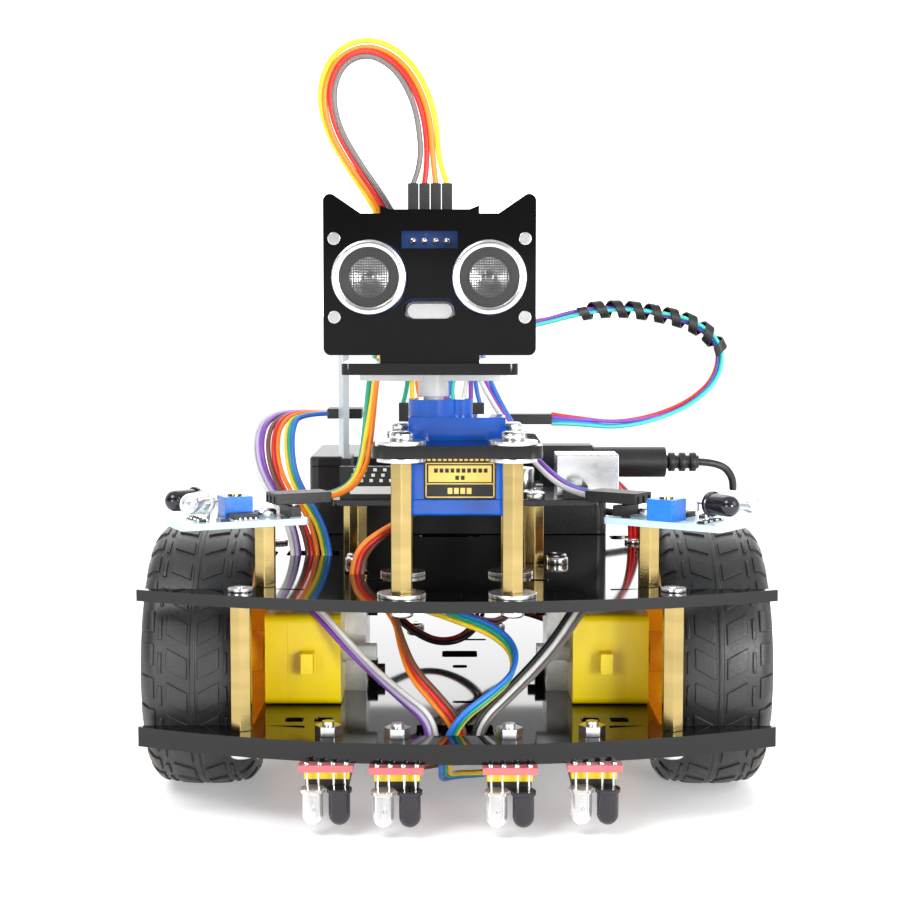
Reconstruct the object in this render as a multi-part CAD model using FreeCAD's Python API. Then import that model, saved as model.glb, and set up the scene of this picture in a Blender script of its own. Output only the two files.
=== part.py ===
"""Two-wheel, two-deck robot car with a turning ultrasonic head.

Millimetres, +Z up, front towards -Y.  Everything below is measured from the point on the floor
under the middle of the wheel axle, and save() shifts it so that the origin is the bottom centre.
"""
import FreeCAD
import Part

import math
import os

OUT = "parts"
AXLE_Y = -29.0            # where the axle lies along the car, from the middle of its length

# wheels and gear motors
WHEEL_R = 33.0
TYRE_IN = 49.6            # inner and outer side of the tyre, along X
TYRE_OUT = 75.4
RIM_R = 26.0
AXLE_Z = WHEEL_R
SHAFT_R = 2.7
SHAFT_IN = 20.3
SHAFT_OUT = 56.2
FIT = 0.05                # radial clearance of every running fit
CASE_IN = 28.8
CASE_OUT = 47.6
CASE_SPLIT = 42.0
CASE_LOW = AXLE_Z - 11.25
CASE_HIGH = AXLE_Z + 11.25
CASE_FRONT = -11.3
CASE_BACK = 26.0
CASE_WALL = 1.5
MOTOR_BACK = 50.5
MOTOR_R = 10.0
MOTOR_HALF = 7.5          # half the distance between the motor's flats
BRACKET = 5.5             # thickness of the motor bracket

# decks
BOTTOM = (16.8, 21.5)     # lower and upper face of the bottom plate
TOP = (51.5, 54.2)
FRONT = -50.0
BACK = 119.0
BOW = 175.0               # radius of the bowed front edge
HALF_FRONT = 75.3
HALF_WAIST = 48.2
HALF_TAIL = 62.0
NOTCH = (-31.6, 34.0)     # front and back of the wheel notches
M3 = 1.45                 # radius of an M3 shank
M3_HOLE = 1.6
LONG = 30.0               # spacer lengths
SHORT = 15.0
SPACER = 4.7              # across the flats of a brass spacer
DECK_SPACERS = [(x, y) for y in (-35.5, 50.0, 104.0) for x in (-50.5, 50.5)]
SERVO_SPACERS = [(-12.7, -43.0), (12.7, -43.0), (-13.3, -9.5), (13.3, -9.5)]

# servo and turning head
SERVO_X = (-11.4, 11.4)
SERVO_Y = (-30.0, -17.8)
SERVO_Z = (71.2, 94.5)
PAN_X = -5.6
PAN_Y = -23.9
WASHER = 1.0
SERVO_PLATE = (TOP[1] + LONG + 2 * WASHER, TOP[1] + LONG + 2 * WASHER + 2.9)
TOWER_TOP = 98.6
HORN = (102.9, 105.3)
HEAD_BASE = (105.3, 107.9)
PANEL_Y = (-52.0, -49.3)
PANEL_Z = (109.6, 145.0)
PANEL_HALF = 23.45
EAR_TIP = 1.4             # how far the ears would rise over the panel if they were not rounded
EAR_ROUND = 1.56
FACE_X = -6.1
FACE_HOLES = (21.0, 8.6)  # half spacing of the small screws
FACE_SCREW = 0.8
HEADER_WINDOW = (133.1, 136.9)
NOSE = (119.8, 2.35, 3.5)  # height, end radius and half run of the lower slot
CRYSTAL = (119.3, 1.85, 3.25)
EYE_Z = 126.6
EYE_GAP = 26.0            # between the two transducers' centres
EYE_R = 8.0
EYE_FRONT = -61.0

# controller board
BOARD_X = (-32.0, 36.5)
BOARD_Y = (9.0, 62.4)
BOARD_Z = (TOP[1] + SHORT, TOP[1] + SHORT + 1.6)
SOCKET_TOP = BOARD_Z[1] + 8.5
FRONT_STRIP = 11.5
REAR_STRIP = 59.8
PLUG = 14.0               # length of a jumper-wire housing
PITCH = 2.54
BOARD_SPACERS = [(20.2, 11.6), (-26.5, 29.5), (19.5, 57.5), (-29.6, 54.7)]

# battery box
BOX_X = (-42.9, 44.1)
BOX_Y = (68.0, 115.0)
BOX_Z = (TOP[1], TOP[1] + 22.9)
LID = 3.0

# obstacle sensors, one on each front corner, each lying at an angle
SENSOR_AT = (45.5, -27.5)
SENSOR_TURN = {-1: 25.0, 1: 36.0}    # degrees that the left and the right one are turned
SENSOR_LONG = (-8.6, 22.4)
LED_SWING = {-1: (20.0, 40.0), 1: (-21.0, 11.0)}
LED_START = {-1: 15.6, 1: 18.0}
LED_RISE = 4.6            # height of the LEDs' centres over the board
SENSOR_WIDE = 14.0
LED_R = 2.5
LED_LONG = 8.6

# line sensors under the front edge
LINE_X = [-29.8, -13.7, 12.0, 31.3]
LINE_BOARD = (12.4, 36.0, 1.6)
LEG = 3.9

# caster
CASTER_Y = 95.0
BALL_R = 7.5

# wires
RIBBON = 2.4              # a bundle of three or four jumper wires
HEAD_WIRE = 2.6
LEAD = 2.2
MOTOR_WIRE = 1.8


def vec(x, y, z):
    return FreeCAD.Vector(x, y, z)


def block(x, y, z):
    """A box from three (low, high) pairs."""
    low, high = min(x), min(y)
    size_x, size_y = abs(x[1] - x[0]), abs(y[1] - y[0])
    return Part.makeBox(size_x, size_y, z[1] - z[0], vec(low, high, z[0]))


def rod(radius, start, end):
    """A cylinder between two points."""
    run = vec(*end) - vec(*start)
    return Part.makeCylinder(radius, run.Length, vec(*start), run)


def post(radius, x, y, z):
    """An upright cylinder from a (low, high) pair of heights."""
    return rod(radius, (x, y, z[0]), (x, y, z[1]))


def prism(points, z):
    """A flat outline of (x, y) points, raised from z[0] to z[1]."""
    corners = [vec(x, y, z[0]) for x, y in points]
    face = Part.Face(Part.makePolygon(corners + [corners[0]]))
    return face.extrude(vec(0, 0, z[1] - z[0]))


def hexagon(across, x, y, z, start=0):
    """A hexagonal bar, its first corner at the given angle from +X."""
    reach = across / math.sqrt(3)
    points = []
    for step in range(6):
        turn = math.radians(60 * step + start)
        points.append((x + reach * math.cos(turn), y + reach * math.sin(turn)))
    return prism(points, z)


def joined(shapes):
    return shapes[0].fuse(shapes[1:]).removeSplitter() if len(shapes) > 1 else shapes[0]


def group(shapes):
    return Part.makeCompound(shapes)


def rounded(shape, radius, corners):
    """Round the upright edges that stand at the given (x, y) corners."""
    edges = []
    for edge in shape.Edges:
        low, high = edge.Vertexes[0].Point, edge.Vertexes[-1].Point
        upright = abs(low.z - high.z) > 0.5 and abs(low.x - high.x) + abs(low.y - high.y) < 0.01
        if upright and any(abs(low.x - x) + abs(low.y - y) < 0.05 for x, y in corners):
            edges.append(edge)
    return shape.makeFillet(radius, edges) if edges else shape


def mirrored(shape):
    """The same piece on the other side of the car."""
    return shape.mirror(vec(0, 0, 0), vec(1, 0, 0))


def save(name, shape):
    placed = shape.copy()
    placed.translate(vec(0, AXLE_Y, 0))
    placed.exportStep(os.path.join(OUT, name + ".step"))


# ---------------------------------------------------------------- decks

def deck(z):
    """The plate outline: a bowed front strip, a waist between the wheels and a rounded tail."""
    bow = post(BOW, 0, FRONT + BOW, z)
    strip = bow.common(block((-HALF_FRONT, HALF_FRONT), (FRONT - 1, NOTCH[0]), z))
    waist = block((-HALF_WAIST, HALF_WAIST), NOTCH, z)
    tail = block((-HALF_TAIL, HALF_TAIL), (NOTCH[1], BACK), z)
    plate = joined([strip, waist, tail])
    plate = rounded(plate, 0.9, [(s * HALF_FRONT, NOTCH[0]) for s in (-1, 1)])
    plate = rounded(plate, 2.5, [(s * HALF_WAIST, NOTCH[0]) for s in (-1, 1)])
    plate = rounded(plate, 4.0, [(s * HALF_WAIST, NOTCH[1]) for s in (-1, 1)])
    plate = rounded(plate, 6.0, [(s * HALF_TAIL, NOTCH[1]) for s in (-1, 1)])
    return rounded(plate, 25.0, [(s * HALF_TAIL, BACK) for s in (-1, 1)])


def slot(x, y, z, corner=1.0):
    hole = block(x, y, (z[0] - 1, z[1] + 1))
    return rounded(hole, corner, [(a, b) for a in x for b in y])


def arc_slot(side, z):
    """A slot that follows the bowed front edge."""
    outer = post(BOW - 12.0, 0, FRONT + BOW, (z[0] - 1, z[1] + 1))
    inner = post(BOW - 14.0, 0, FRONT + BOW, (z[0] - 2, z[1] + 2))
    span = block((36.0 * side, 46.0 * side), (FRONT, NOTCH[0]), (z[0] - 1, z[1] + 1))
    return outer.cut(inner).common(span)


WIRE_SLOT = ((-9.5, 8.5), (-41.5, -31.0))
LEFT_HOLE = ((-45.6, -31.4), (24.0, 33.6))
RIGHT_HOLE = ((44.5, 54.5), (57.0, 65.5))
LEAD_HOLE = ((-11.0, 8.0), (62.6, 67.0))
SERVO_HOLE = ((-28.0, -22.0), (-9.5, -4.0))
SPARE_HOLES = [(x, y) for x in (-40.0, 40.0) for y in (66.0, 88.0)]
CASTER_SCREWS = [(-12.5, CASTER_Y), (12.5, CASTER_Y)]
BRACKET_SCREWS = [(s * (CASE_IN - BRACKET / 2), y) for s in (-1, 1) for y in (9.0, 15.0)]


def line_front(x):
    """The front end of the line sensor at x, a little ahead of the bowed edge."""
    return FRONT + BOW - math.sqrt(BOW ** 2 - x ** 2) - 3.0


def bottom_plate():
    plate = deck(BOTTOM)
    cuts = [slot(*WIRE_SLOT, BOTTOM), slot((-4, 6), (50, 59), BOTTOM), slot((-1, 3), (35, 39), BOTTOM)]
    cuts += [slot((x, x + 8), (75, 77.5), BOTTOM) for x in (-9, 1)]
    cuts += [slot((-1, 9), (-8, -5.5), BOTTOM)]
    for side in (-1, 1):
        cuts.append(arc_slot(side, BOTTOM))
        for x in (32.0, 39.0):
            cuts.append(slot((side * x - 2.15, side * x + 2.15), (-28, -23.5), BOTTOM, 0.5))
    holes = DECK_SPACERS + CASTER_SCREWS + BRACKET_SCREWS
    holes += [(x, line_front(x) + 9.7) for x in LINE_X] + SPARE_HOLES
    cuts += [post(M3_HOLE, x, y, (BOTTOM[0] - 1, BOTTOM[1] + 1)) for x, y in holes]
    return plate.cut(group(cuts))


def top_plate():
    plate = deck(TOP)
    cuts = [slot(*hole, TOP) for hole in (LEFT_HOLE, RIGHT_HOLE, LEAD_HOLE, SERVO_HOLE)]
    cuts += [arc_slot(side, TOP) for side in (-1, 1)]
    cuts += [slot((x - 3, x + 3), (-20, -17), TOP) for x in (-20, 20)]
    sensor = [(s * SENSOR_AT[0], SENSOR_AT[1]) for s in (-1, 1)]
    holes = DECK_SPACERS + SERVO_SPACERS + BOARD_SPACERS + BRACKET_SCREWS + sensor
    cuts += [post(M3_HOLE, x, y, (TOP[0] - 1, TOP[1] + 1)) for x, y in holes]
    return plate.cut(group(cuts))


def spacer(x, y, low, length):
    """A brass hexagonal spacer with one corner to the front, threaded right through."""
    bar = hexagon(SPACER, x, y, (low, low + length), 30)
    trim = post(SPACER * 0.56, x, y, (low, low + length))
    return bar.common(trim).cut(post(M3 + FIT, x, y, (low - 1, low + length + 1)))


def long_spacers():
    bars = [spacer(x, y, BOTTOM[1], LONG) for x, y in DECK_SPACERS]
    bars += [spacer(x, y, TOP[1] + WASHER, LONG) for x, y in SERVO_SPACERS]
    return group(bars)


def short_spacers():
    sensor = [(s * SENSOR_AT[0], SENSOR_AT[1]) for s in (-1, 1)]
    return group([spacer(x, y, TOP[1], SHORT) for x, y in BOARD_SPACERS + sensor])


def screw(x, y, seat, way, length=6.0):
    """A pan-head M3 screw whose head sits on seat; way is +1 when the head is uppermost."""
    head = post(2.75, x, y, (seat, seat + 2.0) if way > 0 else (seat - 2.0, seat))
    rim = head.Edges[0]
    for edge in head.Edges:
        level = edge.CenterOfMass.z
        if abs(level - (seat + 2.0 * way)) < 0.01 and len(edge.Vertexes) == 1:
            rim = edge
    head = head.makeFillet(0.8, [rim])
    shank = post(M3, x, y, (seat - length, seat) if way > 0 else (seat, seat + length))
    recess = post(0.9, x, y, (seat + 1.0, seat + 3.0) if way > 0 else (seat - 3.0, seat - 1.0))
    return joined([head, shank]).cut(recess)


def washer(x, y, low, outer):
    ring = post(outer, x, y, (low, low + WASHER))
    return ring.cut(post(M3_HOLE, x, y, (low - 1, low + 2)))


def nut(x, y, low):
    body = hexagon(5.5, x, y, (low, low + 2.4))
    return body.cut(post(M3 + FIT, x, y, (low - 1, low + 4)))


def flat_screw(x, y, seat, length):
    """A thin flat-headed M3 screw with its head uppermost."""
    head = post(3.0, x, y, (seat, seat + 0.9))
    shank = post(M3, x, y, (seat - length, seat))
    return joined([head, shank]).cut(post(1.1, x, y, (seat + 0.4, seat + 2)))


def servo_screw(x):
    """A small self-tapping screw through the servo plate into one of the servo's ears."""
    head = post(1.7, x, PAN_Y, (SERVO_PLATE[1], SERVO_PLATE[1] + 1.2))
    return joined([head, post(0.95, x, PAN_Y, (SERVO_PLATE[1] - 6.0, SERVO_PLATE[1]))])


def chassis_screws():
    pieces = [servo_screw(x) for x in (-13.9, 13.9)]
    for x, y in DECK_SPACERS:
        pieces.append(flat_screw(x, y, TOP[1], 7.0))
        pieces.append(screw(x, y, BOTTOM[0], -1, 10.0))
    for x, y in SERVO_SPACERS:
        pieces.append(washer(x, y, TOP[1], 5.6))
        wide = 5.6 if y < PAN_Y else 4.0
        pieces.append(washer(x, y, SERVO_PLATE[0] - WASHER, wide))
        pieces.append(washer(x, y, SERVO_PLATE[1], wide))
        pieces.append(screw(x, y, SERVO_PLATE[1] + WASHER, 1, 9.0))
        pieces.append(screw(x, y, TOP[0], -1, 8.0))
    sensor = [(s * SENSOR_AT[0], SENSOR_AT[1]) for s in (-1, 1)]
    for x, y in BOARD_SPACERS + sensor:
        pieces.append(screw(x, y, BOARD_Z[1], 1, 5.0))
        pieces.append(screw(x, y, TOP[0], -1, 7.0))
    for x, y in BRACKET_SCREWS:
        pieces.append(screw(x, y, TOP[1], 1, 8.0))
        pieces.append(screw(x, y, BOTTOM[0], -1, 10.0))
    for x in LINE_X:
        y = line_front(x) + 9.7
        pieces.append(screw(x, y, BOTTOM[0] - LINE_BOARD[2], -1, 9.6))
        pieces.append(nut(x, y, BOTTOM[1]))
    for x, y in CASTER_SCREWS:
        pieces.append(screw(x, y, BOTTOM[1], 1, 6.5))
    return group(pieces)


# ---------------------------------------------------------------- gear motors and wheels
# Each is drawn on the right-hand side, at +X, and mirrored for the left.

MOTOR_HOLES = [(20.2, AXLE_Z - 8.7), (20.2, AXLE_Z + 8.7)]


def case_cavity():
    inner = (CASE_IN + CASE_WALL, CASE_OUT - CASE_WALL)
    room = block(inner, (CASE_FRONT + CASE_WALL, 15.0), (CASE_LOW + CASE_WALL, CASE_HIGH - CASE_WALL))
    throat = block(inner, (14.0, 24.0), (AXLE_Z - 5.5, AXLE_Z + 5.5))
    return joined([room, throat])


def gear_case_whole():
    body = block((CASE_IN, CASE_OUT), (CASE_FRONT, CASE_BACK), (CASE_LOW, CASE_HIGH))
    front = [e for e in body.Edges if abs(e.CenterOfMass.y - CASE_FRONT) < 0.01]
    body = body.makeFillet(2.0, [e for e in front if abs(e.CenterOfMass.z - AXLE_Z) > 11.0])
    tab = block((35.3, 38.3), (CASE_FRONT - 5.0, CASE_FRONT + 0.5), (AXLE_Z - 2.5, AXLE_Z + 2.5))
    tab = tab.cut(rod(1.2, (34, CASE_FRONT - 2.6, AXLE_Z), (40, CASE_FRONT - 2.6, AXLE_Z)))
    body = joined([body, tab]).cut(case_cavity())
    bores = [rod(SHAFT_R + FIT, (CASE_IN - 1, 0, AXLE_Z), (CASE_OUT + 1, 0, AXLE_Z))]
    bores += [rod(M3_HOLE, (CASE_IN - 1, y, z), (CASE_OUT + 1, y, z)) for y, z in MOTOR_HOLES]
    bores.append(motor_body(0.15))
    return body.cut(group(bores))


def gear_case():
    side = block((CASE_IN - 1, CASE_SPLIT), (-30, 60), (0, 60))
    return gear_case_whole().common(side)


def gear_cover():
    side = block((CASE_SPLIT, CASE_OUT + 1), (-30, 60), (0, 60))
    return gear_case_whole().common(side)


def motor_body(extra=0.0):
    """The can with its two flats, and the shoulder that the gear case holds."""
    middle = (CASE_IN + CASE_OUT) / 2
    can = rod(MOTOR_R + extra, (middle, 22.0 - extra, AXLE_Z), (middle, MOTOR_BACK - 3.0, AXLE_Z))
    flats = block((middle - MOTOR_HALF - extra, middle + MOTOR_HALF + extra), (20, 60), (15, 50))
    return can.common(flats)


def motor():
    middle = (CASE_IN + CASE_OUT) / 2
    cap = rod(9.4, (middle, MOTOR_BACK - 3.0, AXLE_Z), (middle, MOTOR_BACK, AXLE_Z))
    cap = cap.common(block((middle - 7.0, middle + 7.0), (20, 60), (15, 50)))
    boss = rod(3.0, (middle, MOTOR_BACK - 0.5, AXLE_Z), (middle, MOTOR_BACK + 1.5, AXLE_Z))
    shaft = rod(1.0, (middle, 15.5, AXLE_Z), (middle, 23.0, AXLE_Z))
    pinion = rod(2.2, (middle, 16.0, AXLE_Z), (middle, 20.5, AXLE_Z))
    tags = [block((middle - 0.2, middle + 0.2), (MOTOR_BACK - 1, MOTOR_BACK + 3), (z - 1.2, z + 1.2))
            for z in (AXLE_Z - 7.0, AXLE_Z + 7.0)]
    return joined([motor_body(), cap, boss, shaft, pinion] + tags)


def motor_strap():
    """The clear plastic band that holds the motor in its case."""
    middle = (CASE_IN + CASE_OUT) / 2
    wide = (middle - 3.5, middle + 3.5)
    reach = MOTOR_BACK + 1.7
    upper = block(wide, (CASE_BACK - 6.0, reach + 0.9), (CASE_HIGH, CASE_HIGH + 0.9))
    lower = block(wide, (CASE_BACK, reach + 0.9), (CASE_LOW, CASE_LOW + 0.9))
    back = block(wide, (reach, reach + 0.9), (CASE_LOW, CASE_HIGH + 0.9))
    windows = [block((middle - 2, middle + 2), (reach - 1, reach + 2), (z - 2.4, z + 2.4))
               for z in (AXLE_Z - 7.0, AXLE_Z + 7.0)]
    return joined([upper, lower, back]).cut(group(windows))


def motor_bracket():
    plate = block((CASE_IN - BRACKET, CASE_IN), (6.0, CASE_BACK), (BOTTOM[1], TOP[0]))
    cuts = [rod(M3_HOLE, (20, y, z), (30, y, z)) for y, z in MOTOR_HOLES]
    for x, y in BRACKET_SCREWS[2:]:
        cuts.append(post(M3 + FIT, x, y, (TOP[0] - 6, TOP[0] + 1)))
        cuts.append(post(M3 + FIT, x, y, (BOTTOM[1] - 1, BOTTOM[1] + 6)))
    return plate.cut(group(cuts))


def motor_screws_one():
    """Two long black screws through case and bracket, each with its nut."""
    pieces = []
    for y, z in MOTOR_HOLES:
        head = rod(2.4, (CASE_OUT, y, z), (CASE_OUT + 1.7, y, z))
        shank = rod(M3, (19.0, y, z), (CASE_OUT + 0.1, y, z))
        pieces.append(joined([head, shank]))
        nut_body = hexagon(5.5, 0, 0, (0, 2.4)).cut(post(M3 + FIT, 0, 0, (-1, 4)))
        nut_body.rotate(vec(0, 0, 0), vec(0, 0, 1), 30)
        nut_body.rotate(vec(0, 0, 0), vec(0, 1, 0), 90)
        nut_body.translate(vec(CASE_IN - BRACKET - 2.4, y, z))
        pieces.append(nut_body)
    return pieces


def output_gear():
    """The double-flat output shaft with the last gear of the train on it."""
    shaft = rod(SHAFT_R, (SHAFT_IN, 0, AXLE_Z), (SHAFT_OUT, 0, AXLE_Z))
    for start, end in ((SHAFT_IN - 1, CASE_IN - 0.8), (CASE_OUT + 0.8, SHAFT_OUT + 1)):
        for side in (-1, 1):
            away = (AXLE_Z + side * 1.85, AXLE_Z + side * 4.0)
            shaft = shaft.cut(block((start, end), (-4, 4), (min(away), max(away))))
    teeth = 26
    outline = []
    for tooth in range(teeth):
        for part, radius in ((0.0, 7.6), (0.28, 7.6), (0.42, 8.9), (0.78, 8.9), (0.92, 7.6)):
            turn = 2 * math.pi * (tooth + part) / teeth
            outline.append((radius * math.cos(turn), radius * math.sin(turn)))
    wheel = prism(outline, (0, 5.0))
    wheel.rotate(vec(0, 0, 0), vec(0, 1, 0), 90)
    wheel.translate(vec(34.0, 0, AXLE_Z))
    return joined([shaft, wheel])


def ring(outer, inner, x):
    """A round ring about the axle line, between two X positions."""
    start, end = (x[0], 0, AXLE_Z), (x[1], 0, AXLE_Z)
    return rod(outer, start, end).cut(rod(inner, (x[0] - 1, 0, AXLE_Z), (x[1] + 1, 0, AXLE_Z)))


def hub():
    """Yellow rim with a spoked web and a boss that takes the flatted shaft."""
    rim = ring(RIM_R, RIM_R - 1.6, (TYRE_IN + 1.6, TYRE_OUT - 1.6))
    web = ring(RIM_R - 1.0, 4.0, (66.0, 68.5))
    boss = ring(5.2, 0.01, (48.6, 69.5))
    lips = [ring(RIM_R + 1.2, RIM_R - 1.6, x) for x in ((TYRE_IN + 0.2, TYRE_IN + 1.6), (73.8, 75.2))]
    body = joined([rim, web, boss] + lips)
    cuts = []
    for step in range(6):
        opening = block((64, 70), (8.5, 22.0), (-4.6, 4.6))
        wedge = opening.makeFillet(2.0, [e for e in opening.Edges if abs(e.CenterOfMass.x - 67) < 0.01])
        wedge.rotate(vec(0, 0, 0), vec(1, 0, 0), 60 * step + 30)
        wedge.translate(vec(0, 0, AXLE_Z))
        cuts.append(wedge)
    bore = rod(SHAFT_R, (48, 0, AXLE_Z), (SHAFT_OUT + 0.2, 0, AXLE_Z))
    bore = bore.common(block((47, 60), (-4, 4), (AXLE_Z - 1.85, AXLE_Z + 1.85)))
    cuts += [bore, rod(1.3, (54, 0, AXLE_Z), (71, 0, AXLE_Z))]
    return body.cut(group(cuts))


def tyre():
    """Rubber tyre: a crowned tread over the rim."""
    seat = RIM_R
    profile = [
        vec(TYRE_IN + 1.6, 0, seat), vec(TYRE_IN + 1.6, 0, seat + 1.2), vec(TYRE_IN, 0, seat + 1.4),
        vec(TYRE_IN, 0, WHEEL_R - 4.0), vec(TYRE_IN + 3.4, 0, WHEEL_R - 0.9),
    ]
    middle = (TYRE_IN + TYRE_OUT) / 2
    far = [vec(2 * middle - p.x, 0, p.z) for p in reversed(profile)]
    edges = [Part.makeLine(a, b) for a, b in zip(profile, profile[1:])]
    edges.append(Part.Arc(profile[-1], vec(middle, 0, WHEEL_R), far[0]).toShape())
    edges += [Part.makeLine(a, b) for a, b in zip(far, far[1:])]
    edges.append(Part.makeLine(far[-1], profile[0]))
    face = Part.Face(Part.Wire(edges))
    solid = face.revolve(vec(0, 0, 0), vec(1, 0, 0), 360)
    solid.translate(vec(0, 0, AXLE_Z))
    return solid


# ---------------------------------------------------------------- caster

def caster_housing():
    cup = post(10.0, 0, CASTER_Y, (4.0, BOTTOM[0]))
    flange = block((-16.5, 16.5), (CASTER_Y - 5, CASTER_Y + 5), (BOTTOM[0] - 2.0, BOTTOM[0]))
    corners = [(x, y) for x in (-16.5, 16.5) for y in (CASTER_Y - 5, CASTER_Y + 5)]
    body = joined([cup, rounded(flange, 4.5, corners)])
    room = Part.makeSphere(BALL_R + 0.3, vec(0, CASTER_Y, BALL_R))
    holes = [post(M3_HOLE, x, y, (10, 20)) for x, y in CASTER_SCREWS]
    return body.cut(group([room] + holes))


def caster_ball():
    return Part.makeSphere(BALL_R, vec(0, CASTER_Y, BALL_R))


# ---------------------------------------------------------------- servo and head

def servo_plate():
    plate = block((-19.4, 19.4), (-47.5, -5.5), SERVO_PLATE)
    corners = [(x, y) for x in (-19.4, 19.4) for y in (-47.5, -5.5)]
    plate = rounded(plate, 3.0, corners)
    cuts = [block((SERVO_X[0] - 0.3, SERVO_X[1] + 0.3), (SERVO_Y[0] - 0.3, SERVO_Y[1] + 0.3), (80, 95))]
    cuts += [post(M3_HOLE, x, y, (80, 95)) for x, y in SERVO_SPACERS]
    cuts += [post(1.0, x, PAN_Y, (80, 95)) for x in (-13.9, 13.9)]
    return plate.cut(group(cuts))


SERVO_SEAM_LOW = 75.0
SERVO_SEAM_HIGH = SERVO_PLATE[0] - 2.5


def servo_case():
    """The middle shell: an open box with a floor, holding the motor and gears."""
    body = block(SERVO_X, SERVO_Y, (SERVO_SEAM_LOW, SERVO_SEAM_HIGH))
    inside = [(SERVO_X[0] + 1.2, SERVO_X[1] - 1.2), (SERVO_Y[0] + 1.2, SERVO_Y[1] - 1.2)]
    return body.cut(block(*inside, (SERVO_SEAM_LOW - 1, SERVO_SEAM_HIGH + 1)))


def servo_top_cover():
    """Ears, upper shell and the round tower that the output shaft turns in."""
    ears = block((-16.1, 16.1), SERVO_Y, (SERVO_SEAM_HIGH, SERVO_SEAM_HIGH + 2.5))
    shell = block(SERVO_X, SERVO_Y, (SERVO_SEAM_HIGH + 1, SERVO_Z[1]))
    tower = post(5.9, PAN_X, PAN_Y, (SERVO_Z[1] - 1, TOWER_TOP))
    step = post(2.9, PAN_X + 6.4, PAN_Y, (SERVO_Z[1] - 1, TOWER_TOP))
    body = joined([ears, shell, tower, step])
    inside = block((SERVO_X[0] + 1.2, SERVO_X[1] - 1.2), (SERVO_Y[0] + 1.2, SERVO_Y[1] - 1.2),
                   (SERVO_SEAM_HIGH - 1, SERVO_Z[1] - 1.4))
    cuts = [inside, post(2.4 + FIT, PAN_X, PAN_Y, (90, 100))]
    cuts += [post(1.0, x, PAN_Y, (SERVO_SEAM_HIGH - 1, SERVO_Z[1])) for x in (-13.9, 13.9)]
    return body.cut(group(cuts))


def servo_bottom_cover():
    body = block(SERVO_X, SERVO_Y, (SERVO_Z[0], SERVO_SEAM_LOW))
    low = [e for e in body.Edges if abs(e.CenterOfMass.z - SERVO_Z[0]) < 0.01]
    body = body.makeFillet(0.8, low)
    inside = block((SERVO_X[0] + 1.2, SERVO_X[1] - 1.2), (SERVO_Y[0] + 1.2, SERVO_Y[1] - 1.2),
                   (SERVO_Z[0] + 1.2, SERVO_SEAM_LOW + 1))
    return body.cut(inside)


def servo_horn():
    """Output shaft, hub and the two-armed horn that carries the head."""
    shaft = post(2.4, PAN_X, PAN_Y, (93.6, 99.4))
    hub_part = post(3.6, PAN_X, PAN_Y, (99.2, HORN[1]))
    pieces = [shaft, hub_part]
    for side in (-1, 1):
        ends = [(PAN_X, PAN_Y - 2.9), (PAN_X + side * 15.5, PAN_Y - 1.9)]
        ends += [(x, 2 * PAN_Y - y) for x, y in reversed(ends)]
        pieces.append(prism(ends, HORN))
        pieces.append(post(1.9, PAN_X + side * 15.5, PAN_Y, HORN))
    return joined(pieces)


def head_base():
    plate = block((-25.6, 13.4), (-54.6, -13.5), HEAD_BASE)
    plate = rounded(plate, 2.0, [(x, y) for x in (-25.6, 13.4) for y in (-54.6, -13.5)])
    cuts = [block((FACE_X - 11.05, FACE_X + 11.05), (PANEL_Y[0] - 0.05, PANEL_Y[1] + 0.05), (100, 110))]
    cuts += [post(1.2, PAN_X + dx, PAN_Y, (100, 110)) for dx in (-12.5, 12.5)]
    cuts.append(post(2.6, PAN_X, PAN_Y, (100, 110)))
    return plate.cut(group(cuts))


def panel_outline():
    """Half of the cat-eared face, from the tab's foot up to the middle of the top edge."""
    low, high, half = PANEL_Z[0], PANEL_Z[1], PANEL_HALF
    return [
        (11.0, HEAD_BASE[0]), (11.0, low), (half, low), (half, high + EAR_TIP), (15.2, high - 4.25),
        (10.9, high - 4.25), (10.9, high - 2.5), (8.8, high - 3.35), (0.0, high - 3.35),
    ]


def face_holes(across):
    """The four small holes that the face and the sensor board share."""
    holes = []
    for dx in (-FACE_HOLES[0], FACE_HOLES[0]):
        for dz in (-FACE_HOLES[1], FACE_HOLES[1]):
            x, z = FACE_X + dx, EYE_Z + dz
            holes.append(rod(FACE_SCREW + FIT, (x, across[0], z), (x, across[1], z)))
    return holes


def oval(z, radius, run, across):
    """The pieces of a round-ended bar lying along X behind the face."""
    pieces = [block((FACE_X - run, FACE_X + run), across, (z - radius, z + radius))]
    for x in (FACE_X - run, FACE_X + run):
        pieces.append(rod(radius, (x, across[0], z), (x, across[1], z)))
    return pieces


def face_panel():
    side = panel_outline()
    points = [(FACE_X + x, z) for x, z in side] + [(FACE_X - x, z) for x, z in reversed(side[:-1])]
    panel = prism(points, (-PANEL_Y[1], -PANEL_Y[0]))
    tips = [(FACE_X + s * PANEL_HALF, z) for s in (-1, 1) for z in (PANEL_Z[0], PANEL_Z[1] + EAR_TIP)]
    panel = rounded(panel, EAR_ROUND, tips)
    panel.rotate(vec(0, 0, 0), vec(1, 0, 0), 90)
    across = (PANEL_Y[0] - 1, PANEL_Y[1] + 1)
    cuts = []
    for side_x in (-EYE_GAP / 2, EYE_GAP / 2):
        centre = FACE_X + side_x
        cuts.append(rod(EYE_R + 0.4, (centre, across[0], EYE_Z), (centre, across[1], EYE_Z)))
    cuts += face_holes(across)
    cuts.append(block((FACE_X - 6.15, FACE_X + 6.15), across, HEADER_WINDOW))
    cuts += oval(*NOSE, across)
    return panel.cut(group(cuts))


US_BOARD_Y = (-44.6, -43.0)


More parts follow.
